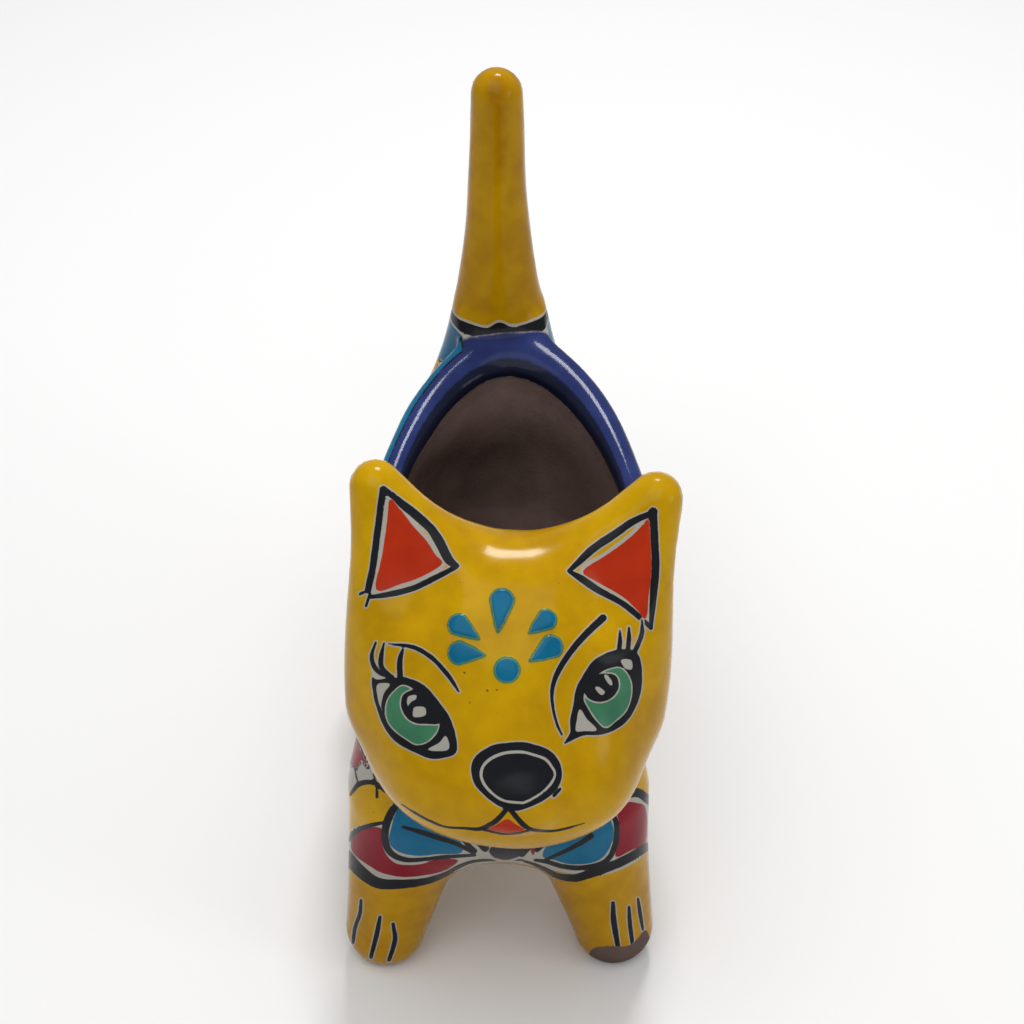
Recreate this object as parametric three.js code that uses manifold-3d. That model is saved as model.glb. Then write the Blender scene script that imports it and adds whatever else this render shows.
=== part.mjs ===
// Ceramic cat planter: a hollow glazed cat on four short legs, with an upright tail.
// It is one fired piece. Its back is open, with a thick rolled lip around the planting hollow.
// Millimetres, +Z up, the face looks along -Y, the tail stands at +Y.
// The origin is on the ground, under the middle of the piece.

import * as THREE from 'three';
import { mergeVertices } from 'three/addons/utils/BufferGeometryUtils.js';
import Module from 'manifold-3d';

const wasm = await Module();
wasm.setup();

// Body: a loaf with soft corners, a little narrower at the rump
const bodyLength = 184;
const bodyWidth = 98;
const bodyHeight = 86;
const bellyHeight = 40; // ground to belly
const wall = 8;
const loafPower = 2.9; // 2 is an ellipse, higher is squarer
const loafEndPower = 2.3;
const rumpNarrowing = 0.03; // share of the width lost at the rump
const bodyLean = -3.2; // the whole body sits this far to +X of the face's middle line

// Legs: short, tapering down to round paws with flat soles
const stanceWidth = 108; // over the outer sides of the paws
const pawRadius = 14;
const soleCut = 2; // how much of the round paw the flat sole takes off
const hipRadius = 22;
const hipHeight = 70;
const hipInset = 11.5; // the hip is this much nearer the middle than the paw
const frontLegInset = 11; // from the body's front end
const rearLegInset = 25; // from the body's rear end
const legLean = -2.3;

// Tail: upright, flaring smoothly into the rump
const tailHeight = 243; // ground to tip
const tailTipRadius = 9.4;
const tailTaper = 4.2; // growth of the radius down the straight part
const tailFlare = 17; // further growth towards the rump
const tailFlatten = 0.5; // share of that growth missing front to back
const tailRootHeight = 105;
const tailTipOverhang = 27; // the tip's middle stands this far behind the body
const tailSweep = 10; // the root's middle is this far in front of the tip's
const tailOffset = -0.9; // root's middle towards +X
const tailLean = 0.5; // the tip leans this far to -X

// Head: a shield-shaped face, tilted back to look up
const headWidth = 97;
const headHeight = 99.5;
const headDepth = 68;
const headPower = 2.4;
const jawNarrowing = 0.04; // share of the width lost at the chin
const headReach = 10; // head's middle, in front of the body's front end
const headLift = 59.3; // head's middle, above the body's middle
const headTilt = 21; // degrees, face turned up
const headRoll = -2.9; // degrees, the face leans to one side
const headOffset = 0.3; // head's middle towards +X

// Ears: rounded triangular plates with shallow hollows in front
const earRound = 8; // radius of the plate's rounded edge
const earThickness = 17;
const earRise = 12.5; // tip's centre above the top of the head
const earSpread = 5.5; // tip's centre in from the side of the head
const earInner = 20; // inner corner, from the middle line
const earInnerDrop = 9; // inner corner, below the top of the head
const earBaseInset = 3; // outer foot of the ear, further in than the tip
const earHollowFloor = 14; // in front of the head's middle plane
const earHollowWidth = 28;
const earHollowHeight = 34;
const earHollowInset = 15; // middle of the hollow, in from the side of the head
const earHollowUp = 41; // middle of the hollow, above the head's middle

// Muzzle and nose
const muzzleWidth = 60;
const muzzleHeight = 33;
const muzzleDepth = 30;
const muzzleOut = 12; // muzzle's middle, behind the face's foremost point
const muzzleDrop = 24; // below the head's middle
const muzzleShift = 2.8;
const noseWidth = 26;
const noseHeight = 20;
const noseDepth = 14;
const noseOut = 1.5; // nose's middle, in front of the face's foremost point
const noseDrop = 24.5;
const noseShift = 4.8;

// Neck
const neckRootRadius = 38;
const neckHeadRadius = 31;
const neckRootInset = 30; // from the body's front end

// Rim: an egg-shaped opening whose rear sweeps up to the tail
const rimInset = 2.5; // rim's centre line, in from the body's side
const rimFrontInset = 37; // from the body's front end
const rimRearInset = -3; // from the body's rear end
const rimShift = 2.8; // opening's middle, towards +X
const rimDrop = 6; // rim at its lowest, below the top of the body
const rimRiseRear = 17;
const rimRiseFront = 8;
const rimFrontPower = 2.3;
const rimRearPower = 1.88;
const lipRadius = 4.7;
const wallLean = 0.2; // how much the wall under the lip comes in for each step down

// Widths of the soft blends between the forms
const legBlend = 18;
const tailBlend = 26;
const neckBlend = 18;
const headBlend = 10;
const earBlend = 12;
const muzzleBlend = 22;
const noseBlend = 3;
const shoulderBlend = 14; // between the body and the wall that carries the lip
const edgeBlend = 4;

// Facets
const faceStep = 5.4;
const bodyStep = 9;
const crossStep = 6.5;
const hollowStep = 10;
const mouthStep = 6;
const lipSides = 10;
const lipSteps = 52;

// Places worked out from the sizes
const halfLength = bodyLength / 2;
const halfWidth = bodyWidth / 2;
const bodyMiddle = bellyHeight + bodyHeight / 2;
const faceFront = headDepth / 2;
const pawX = stanceWidth / 2 - pawRadius;
const legRows = [-halfLength + frontLegInset, halfLength - rearLegInset];
const headCentre = [headOffset, -halfLength - headReach, bodyMiddle + headLift];
const neckRoot = [bodyLean, -halfLength + neckRootInset, bodyMiddle];
const tailTipMiddle = tailHeight - tailTipRadius;
const rimHalfWidth = halfWidth - rimInset;
const rimFront = halfLength - rimFrontInset;
const rimRear = halfLength - rimRearInset;
const rimLow = bellyHeight + bodyHeight - rimDrop;
const rimTop = rimLow + rimRiseRear;
const earTip = [headWidth / 2 - earSpread, headHeight / 2 + earRise];
const earCorners = [
  earTip,
  [earInner, headHeight / 2 - earInnerDrop],
  [headWidth / 2 - earSpread - earBaseInset, 0],
];

// Soft union of two signed distances, blended over the width k
function blend(a, b, k) {
  const overlap = Math.max(k - Math.abs(a - b), 0) / k;
  return Math.min(a, b) - overlap * overlap * k / 4;
}

// Soft common part of two signed distances
function meet(a, b, k) {
  return -blend(-a, -b, k);
}

// Length of a vector under a power, which rounds a box towards an ellipse
function powerLength(a, b, power) {
  return (Math.abs(a) ** power + Math.abs(b) ** power) ** (1 / power);
}

// Distance to an ellipsoid at the centre c with the half-sizes r
function ellipsoid(p, c, r) {
  const scaled = p.map((value, i) => (value - c[i]) / r[i]);
  const steep = scaled.map((value, i) => value / r[i]);
  const size = Math.hypot(...scaled);
  return size * (size - 1) / Math.max(Math.hypot(...steep), 1e-9);
}

// Distance to a limb with round ends, whose radius goes evenly from ra to rb
function limb(p, a, b, ra, rb) {
  const axis = b.map((value, i) => value - a[i]);
  const fromA = p.map((value, i) => value - a[i]);
  const along = axis.reduce((sum, value, i) => sum + value * fromA[i], 0);
  const length2 = axis.reduce((sum, value) => sum + value * value, 0);
  const t = THREE.MathUtils.clamp(along / length2, 0, 1);
  const away = Math.hypot(...fromA.map((value, i) => value - axis[i] * t));
  return away - THREE.MathUtils.lerp(ra, rb, t);
}

// Signed distance in a plane to a triangle whose corners run anticlockwise
function triangle(x, y, corners) {
  let nearest = Infinity;
  let inside = true;
  corners.forEach(([ax, ay], i) => {
    const [bx, by] = corners[(i + 1) % corners.length];
    const [ex, ey] = [bx - ax, by - ay];
    const [vx, vy] = [x - ax, y - ay];
    const t = THREE.MathUtils.clamp((vx * ex + vy * ey) / (ex * ex + ey * ey), 0, 1);
    nearest = Math.min(nearest, Math.hypot(vx - ex * t, vy - ey * t));
    inside = inside && ex * vy - ey * vx > 0;
  });
  return inside ? -nearest : nearest;
}

// The loaf of the body, grown outwards by the given amount or shrunk by a negative one
function loaf([x, y, z], grow) {
  const along = y / (halfLength + grow);
  const narrow = 1 - rumpNarrowing * THREE.MathUtils.clamp(along, 0, 1.2) ** 2;
  const across = (x - bodyLean) / ((halfWidth + grow) * narrow);
  const up = (z - bodyMiddle) / (bodyHeight / 2 + grow);
  const section = powerLength(across, up, loafPower);
  return (powerLength(section, along, loafEndPower) - 1) * (bodyHeight / 2 + grow);
}

// Four legs, from hips inside the body down to the paws
function legs(p, whole) {
  let distance = whole;
  for (const y of legRows) {
    for (const side of [-1, 1]) {
      const hip = [legLean + side * (pawX - hipInset), y * 0.94, hipHeight];
      const paw = [legLean + side * pawX, y, pawRadius - soleCut];
      distance = blend(distance, limb(p, hip, paw, hipRadius, pawRadius), legBlend);
    }
  }
  return distance;
}

// The tail, as round slices whose middle sweeps back and whose radius grows downwards
function tail([x, y, z]) {
  const down = THREE.MathUtils.clamp(
    (tailTipMiddle - z) / (tailTipMiddle - tailRootHeight), 0, 1.2);
  const middleY = halfLength + tailTipOverhang - tailSweep * down ** 1.8;
  const middleX = tailOffset - tailLean * (1 - down);
  const widening = tailFlare * down ** 3;
  const radius = tailTipRadius + tailTaper * down + widening;
  const along = (y - middleY) * radius / (radius - tailFlatten * widening);
  const above = Math.max(z - tailTipMiddle, 0);
  const below = Math.max(tailRootHeight - z, 0);
  return Math.hypot(x - middleX, along, above, below) - radius;
}

// A point in the head's own frame: across the face, out of the face, up the face
const headAxes = (() => {
  const tilt = THREE.MathUtils.degToRad(headTilt);
  const roll = THREE.MathUtils.degToRad(headRoll);
  const out = new THREE.Vector3(0, -Math.cos(tilt), Math.sin(tilt));
  const up = new THREE.Vector3(0, Math.sin(tilt), Math.cos(tilt)).applyAxisAngle(out, roll);
  return [up.clone().cross(out), out, up];
})();

function inHead(p) {
  const from = new THREE.Vector3(...p).sub(new THREE.Vector3(...headCentre));
  return headAxes.map((axis) => axis.dot(from));
}

// The skull without ears or muzzle
function skull([across, out, up]) {
  const chinward = THREE.MathUtils.clamp(-up / (headHeight / 2), 0, 1.2);
  const halfAcross = (headWidth / 2) * (1 - jawNarrowing * chinward);
  const shield = powerLength(across / halfAcross, up / (headHeight / 2), headPower);
  return (Math.hypot(shield, out / faceFront) - 1) * faceFront;
}

// Both ears: a flat triangle with a round edge on each side
function ears([across, out, up]) {
  const flat = triangle(Math.abs(across), up, earCorners);
  const thick = Math.abs(out) - (earThickness / 2 - earRound);
  const outside = Math.hypot(Math.max(flat, 0), Math.max(thick, 0));
  return outside + Math.min(Math.max(flat, thick), 0) - earRound;
}

// The hollows pressed into the ears' fronts
function earHollows([across, out, up]) {
  const halfAcross = earHollowWidth / 2;
  const centre = [headWidth / 2 - earHollowInset, earHollowFloor + halfAcross, earHollowUp];
  const size = [halfAcross, halfAcross, earHollowHeight / 2];
  return ellipsoid([Math.abs(across), out, up], centre, size);
}

function head(p) {
  const q = inHead(p);
  const muzzle = ellipsoid(
    q,
    [muzzleShift, faceFront - muzzleOut, -muzzleDrop],
    [muzzleWidth / 2, muzzleDepth / 2, muzzleHeight / 2],
  );
  const nose = ellipsoid(
    q,
    [noseShift, faceFront + noseOut, -noseDrop],
    [noseWidth / 2, noseDepth / 2, noseHeight / 2],
  );
  let distance = blend(skull(q), ears(q), earBlend);
  distance = meet(distance, -earHollows(q), edgeBlend * 2);
  distance = blend(distance, muzzle, muzzleBlend);
  return blend(distance, nose, noseBlend);
}

// Height of the rim's centre line at a place along the body
function rimHeight(y) {
  if (y > 0) return rimLow + rimRiseRear * Math.min(y / rimRear, 1.1) ** 2;
  return rimLow + rimRiseFront * (y / rimFront) ** 2;
}

// Distance in plan from the rim's centre line, negative inside the opening
function rimPlan(x, y) {
  const along = y > 0 ? y / rimRear : y / rimFront;
  const power = y > 0 ? rimRearPower : rimFrontPower;
  return (powerLength((x - rimShift) / rimHalfWidth, along, power) - 1) * rimHalfWidth;
}

// The same distance below the rim, for a wall that leans in on its way down
function wallPlan([x, y, z]) {
  return rimPlan(x, y) + wallLean * Math.max(rimHeight(y) - z, 0);
}

// The wall that rises from the body to carry the lip
function rimWall(p) {
  const [, y, z] = p;
  const underRim = meet(wallPlan(p) - lipRadius * 0.6, z - rimHeight(y), edgeBlend / 2);
  return meet(underRim, bodyMiddle - z, edgeBlend);
}

// The cat's outer surface, with its back still closed
function outerForm(p) {
  const neck = limb(p, neckRoot, headCentre, neckRootRadius, neckHeadRadius);
  let distance = legs(p, loaf(p, 0));
  distance = blend(distance, tail(p), tailBlend);
  distance = blend(distance, neck, neckBlend);
  distance = blend(distance, head(p), headBlend);
  return blend(distance, rimWall(p), shoulderBlend);
}

// The planting hollow and the opening above it, cut free up to the given height.
// Above the rim the cut reaches over the lip, below it the cut leaves the wall standing.
function hollowForm(p, top) {
  const [, y, z] = p;
  const overRim = z - rimHeight(y);
  const belowRim = THREE.MathUtils.clamp(0.5 - overRim / (2 * lipRadius), 0, 1);
  const inset = THREE.MathUtils.lerp(-lipRadius * 0.5, wall - lipRadius, belowRim);
  const mouth = meet(wallPlan(p) + inset, bodyMiddle - z, edgeBlend);
  return Math.max(blend(loaf(p, -wall), mouth, edgeBlend * 4), z - top);
}

// The rolled lip's surface
function lipForm([x, y, z]) {
  return Math.hypot(rimPlan(x, y), z - rimHeight(y)) - lipRadius;
}

// Grid coordinates from the first value to the last, in spans of [end, step]
function gridLine(start, spans) {
  const line = [start];
  for (const [end, step] of spans) {
    const from = line.at(-1);
    const count = Math.max(1, Math.round((end - from) / step));
    for (let i = 1; i <= count; i += 1) line.push(from + (end - from) * i / count);
  }
  return line;
}

// Moves a point onto the surface where the form's distance is nought
function settle(point, form) {
  const reach = 0.05;
  const longest = 1.5;
  for (let round = 0; round < 4; round += 1) {
    const slope = point.map((_, i) => {
      const ahead = point.map((value, j) => value + (i === j ? reach : 0));
      const behind = point.map((value, j) => value - (i === j ? reach : 0));
      return (form(ahead) - form(behind)) / (2 * reach);
    });
    const steepness = Math.max(slope.reduce((sum, value) => sum + value * value, 0), 0.05);
    const travel = form(point) / steepness;
    const length = Math.abs(travel) * Math.sqrt(steepness);
    const share = Math.min(1, longest / Math.max(length, 1e-9));
    for (let i = 0; i < 3; i += 1) point[i] -= slope[i] * travel * share;
  }
  return point;
}

// Turns over the weakest corner of every grid square whose signs alternate like a
// chessboard, because two sheets of the surface would share an edge there
function calmSquares(values, sizes, indexOf) {
  let turned = 0;
  const steps = [[1, 0, 0], [0, 1, 0], [0, 0, 1]];
  for (let i = 0; i < sizes[0] - 1; i += 1) {
    for (let j = 0; j < sizes[1] - 1; j += 1) {
      for (let k = 0; k < sizes[2] - 1; k += 1) {
        for (const axis of [0, 1, 2]) {
          const [u, v] = [steps[(axis + 1) % 3], steps[(axis + 2) % 3]];
          const corners = [[0, 0], [1, 0], [1, 1], [0, 1]].map(([a, b]) => (
            indexOf(i + a * u[0] + b * v[0], j + a * u[1] + b * v[1], k + a * u[2] + b * v[2])));
          const inside = corners.map((corner) => values[corner] < 0);
          if (inside[0] === inside[2] && inside[1] === inside[3] && inside[0] !== inside[1]) {
            const sizeAt = (corner) => Math.abs(values[corner]);
            const weakest = corners.reduce((a, b) => (sizeAt(b) < sizeAt(a) ? b : a));
            values[weakest] = -values[weakest];
            turned += 1;
          }
        }
      }
    }
  }
  return turned;
}

// Closed surface of a form: one point in each grid cell that the surface crosses,
// and a four-sided face across each grid edge that it crosses
function surfaceOf(form, lines) {
  const sizes = lines.map((line) => line.length);
  const indexOf = (i, j, k) => (i * sizes[1] + j) * sizes[2] + k;
  const values = new Float64Array(sizes[0] * sizes[1] * sizes[2]);
  const cells = new Map();
  const faces = [];
  lines[0].forEach((x, i) => lines[1].forEach((y, j) => lines[2].forEach((z, k) => {
    values[indexOf(i, j, k)] = form([x, y, z]);
  })));
  for (let pass = 0; pass < 8 && calmSquares(values, sizes, indexOf) > 0; pass += 1);

  const addCrossing = (cell, point) => {
    const key = indexOf(...cell);
    if (!cells.has(key)) cells.set(key, { cell, sum: [0, 0, 0], count: 0, index: cells.size });
    const entry = cells.get(key);
    point.forEach((value, i) => { entry.sum[i] += value; });
    entry.count += 1;
    return entry;
  };

  const visitEdge = (node, axis) => {
    const next = node.map((value, i) => value + (i === axis ? 1 : 0));
    if (next[axis] >= sizes[axis]) return;
    const here = values[indexOf(...node)];
    const there = values[indexOf(...next)];
    if (here < 0 === there < 0) return;
    const point = node.map((value, i) => lines[i][value]);
    const t = here / (here - there);
    point[axis] = THREE.MathUtils.lerp(lines[axis][node[axis]], lines[axis][next[axis]], t);
    const [first, second] = [(axis + 1) % 3, (axis + 2) % 3];
    const ring = [[0, 0], [-1, 0], [-1, -1], [0, -1]].map(([a, b]) => {
      const cell = [...node];
      cell[first] += a;
      cell[second] += b;
      return addCrossing(cell, point);
    });
    faces.push(here < 0 ? ring : ring.reverse());
  };

  for (let i = 0; i < sizes[0]; i += 1) {
    for (let j = 0; j < sizes[1]; j += 1) {
      for (let k = 0; k < sizes[2]; k += 1) {
        for (const axis of [0, 1, 2]) visitEdge([i, j, k], axis);
      }
    }
  }

  // Each point is settled on the surface, but stays in its own cell so that no face folds
  const points = [...cells.values()].map(({ cell, sum, count }) => {
    const settled = settle(sum.map((value) => value / count), form);
    return settled.map((value, i) => (
      THREE.MathUtils.clamp(value, lines[i][cell[i]], lines[i][cell[i] + 1])));
  });
  const apart = (a, b) => Math.hypot(...points[a].map((value, i) => value - points[b][i]));
  const triangles = faces.flatMap((ring) => {
    const [a, b, c, d] = ring.map((entry) => entry.index);
    return apart(a, c) < apart(b, d) ? [a, b, c, a, c, d] : [b, c, d, b, d, a];
  });
  const geometry = new THREE.BufferGeometry();
  geometry.setAttribute('position', new THREE.Float32BufferAttribute(points.flat(), 3));
  geometry.setIndex(triangles);
  return geometry;
}

// The lip: a ring bent to the rim's plan and height
function lipGeometry() {
  const ringRadius = lipRadius * 4;
  const ring = new THREE.TorusGeometry(ringRadius, lipRadius, lipSides, lipSteps);
  const position = ring.getAttribute('position');
  for (let i = 0; i < position.count; i += 1) {
    const [x, y, z] = [position.getX(i), position.getY(i), position.getZ(i)];
    const around = Math.hypot(x, y);
    const [cos, sin] = [x / around, y / around];
    const power = 2 / (sin > 0 ? rimRearPower : rimFrontPower);
    const reach = sin > 0 ? rimRear : rimFront;
    const planX = rimShift + rimHalfWidth * Math.sign(cos) * Math.abs(cos) ** power;
    const planY = reach * Math.sign(sin) * Math.abs(sin) ** power;
    const outward = new THREE.Vector2(cos / rimHalfWidth, sin / reach).normalize();
    const out = around - ringRadius;
    const centre = [planX + outward.x * out, planY + outward.y * out];
    const placed = settle([...centre, rimHeight(planY) + z], lipForm);
    position.setXYZ(i, ...placed);
  }
  return ring;
}

// A geometry whose shared points are merged, as a solid that can be joined and cut
function solidOf(geometry) {
  const bare = geometry.clone();
  bare.deleteAttribute('normal');
  bare.deleteAttribute('uv');
  const merged = mergeVertices(bare, 1e-4);
  return new wasm.Manifold(new wasm.Mesh({
    numProp: 3,
    vertProperties: new Float32Array(merged.getAttribute('position').array),
    triVerts: new Uint32Array(merged.getIndex().array),
  }));
}

function geometryOf(solid) {
  const { vertProperties, triVerts } = solid.getMesh();
  const geometry = new THREE.BufferGeometry();
  geometry.setAttribute('position', new THREE.BufferAttribute(vertProperties, 3));
  geometry.setIndex(new THREE.BufferAttribute(triVerts, 1));
  return geometry;
}

// What lies below the ground, cut away so that the soles are flat
function groundBlock() {
  const [width, depth] = [stanceWidth * 2, bodyLength * 2];
  return new THREE.BoxGeometry(width, depth, pawRadius * 2).translate(0, 0, -pawRadius);
}

function catGeometry() {
  const margin = 6;
  const side = Math.max(halfWidth, headWidth / 2 + earRound, stanceWidth / 2) + margin;
  const chin = headCentre[1] + headDepth / 2;
  const front = headCentre[1] - headDepth - noseDepth;
  const back = halfLength + tailTipOverhang + tailTipRadius * 3;
  const across = gridLine(-side, [[side, crossStep]]);
  const outer = surfaceOf(outerForm, [
    across,
    gridLine(front, [[chin, faceStep], [back, bodyStep]]),
    gridLine(-margin, [[bellyHeight, bodyStep], [tailHeight + margin, crossStep]]),
  ]);
  const hollowTop = rimTop + lipRadius * 5;
  const hollow = surfaceOf((p) => hollowForm(p, hollowTop), [
    gridLine(-side, [[side, mouthStep * 1.3]]),
    gridLine(-halfLength, [[back, hollowStep]]),
    gridLine(bellyHeight, [[rimLow - lipRadius * 3, hollowStep], [hollowTop + margin, mouthStep]]),
  ]);
  const solid = solidOf(outer)
    .subtract(solidOf(hollow))
    .add(solidOf(lipGeometry()))
    .subtract(solidOf(groundBlock()));
  const geometry = geometryOf(solid);
  geometry.computeBoundingBox();
  const middle = geometry.boundingBox.getCenter(new THREE.Vector3());
  geometry.translate(-middle.x, -middle.y, 0);
  geometry.computeVertexNormals();
  return geometry;
}

const yellowGlaze = new THREE.MeshStandardMaterial({
  color: 0xd9a406,
  roughness: 0.18,
  metalness: 0,
});

const cat = new THREE.Mesh(catGeometry(), yellowGlaze);
cat.name = 'cat_planter';

const planter = new THREE.Group();
planter.add(cat);

export default planter;
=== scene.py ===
"""Ceramic cat planter: the fired clay, its glazes and its brushwork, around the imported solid.

The cat's form is one blended distance field. It has the solid's sizes, but for three: the foot of
each ear lies further in and lower, the chin is higher, and the surface wavers as if made by hand.
It is meshed finely here, and finer still under the brushwork. Each brush line and each field of
glaze is kept on the mesh as a distance in millimetres, so that its edge stays sharp.
"""

import sys

import logging
import math
from collections.abc import Callable
from dataclasses import dataclass, field
from enum import Enum

import bpy
import numpy as np
from mathutils import Matrix, Vector


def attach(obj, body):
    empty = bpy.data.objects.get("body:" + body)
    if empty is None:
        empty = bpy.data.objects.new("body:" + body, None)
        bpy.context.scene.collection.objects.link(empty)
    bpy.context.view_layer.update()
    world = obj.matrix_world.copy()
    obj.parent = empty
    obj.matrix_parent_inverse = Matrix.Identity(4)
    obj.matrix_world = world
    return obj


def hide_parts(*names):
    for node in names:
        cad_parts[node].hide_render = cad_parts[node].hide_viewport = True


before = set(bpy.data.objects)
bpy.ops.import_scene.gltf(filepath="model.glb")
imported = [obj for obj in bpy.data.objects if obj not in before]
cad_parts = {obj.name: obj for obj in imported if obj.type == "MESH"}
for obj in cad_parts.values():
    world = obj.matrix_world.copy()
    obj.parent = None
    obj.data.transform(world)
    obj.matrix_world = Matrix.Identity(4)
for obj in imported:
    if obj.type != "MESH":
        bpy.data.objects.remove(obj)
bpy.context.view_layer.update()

Array = np.ndarray
Point = tuple[float, float, float]
Pixel = tuple[float, float]
Form = Callable[[Array], Array]
MM = 0.001
FLOOR_EDGE = 1.2
log = logging.getLogger("cat_planter")


def blend(a: Array, b: Array, k: float) -> Array:
    """Soft union of two signed distances, blended over the width k."""
    overlap = np.maximum(k - np.abs(a - b), 0) / k
    return np.minimum(a, b) - overlap * overlap * k / 4


def meet(a: Array, b: Array, k: float) -> Array:
    """Soft common part of two signed distances."""
    return -blend(-a, -b, k)


def power_length(a: Array, b: Array, power: Array | float) -> Array:
    """Length of (a, b) under a power: 2 gives a circle, higher is squarer."""
    return (np.abs(a) ** power + np.abs(b) ** power) ** (1 / power)


def ellipsoid(p: Array, centre: Point, size: Point) -> Array:
    """Distance to an ellipsoid with the given half-sizes."""
    scaled = (p - np.array(centre)) / np.array(size)
    length = np.linalg.norm(scaled, axis=-1)
    steep = np.linalg.norm(scaled / np.array(size), axis=-1)
    return length * (length - 1) / np.maximum(steep, 1e-9)


def limb(p: Array, a: Point, b: Point, radius_a: float, radius_b: float) -> Array:
    """Distance to a limb with round ends, whose radius goes evenly from one end to the other."""
    start, axis = np.array(a), np.array(b) - np.array(a)
    t = np.clip(((p - start) @ axis) / (axis @ axis), 0, 1)
    away = np.linalg.norm(p - start - t[..., None] * axis, axis=-1)
    return away - (radius_a + (radius_b - radius_a) * t)


def polygon_distance(q: Array, corners: Array) -> Array:
    """Signed distance in a plane to a closed outline, negative inside.

    Args:
        q: points, with two coordinates each.
        corners: the outline's corners in order.

    Returns:
        The distance of each point.
    """
    nearest = np.full(q.shape[:-1], np.inf)
    inside = np.zeros(q.shape[:-1], bool)
    for (ax, ay), (bx, by) in zip(corners, np.roll(corners, -1, axis=0)):
        ex, ey = bx - ax, by - ay
        vx, vy = q[..., 0] - ax, q[..., 1] - ay
        t = np.clip((vx * ex + vy * ey) / max(ex * ex + ey * ey, 1e-12), 0, 1)
        nearest = np.minimum(nearest, np.hypot(vx - ex * t, vy - ey * t))
        if ay != by:
            crosses = (ay > q[..., 1]) != (by > q[..., 1])
            inside ^= crosses & (vx < ex * vy / ey)
    return np.where(inside, -nearest, nearest)


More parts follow.
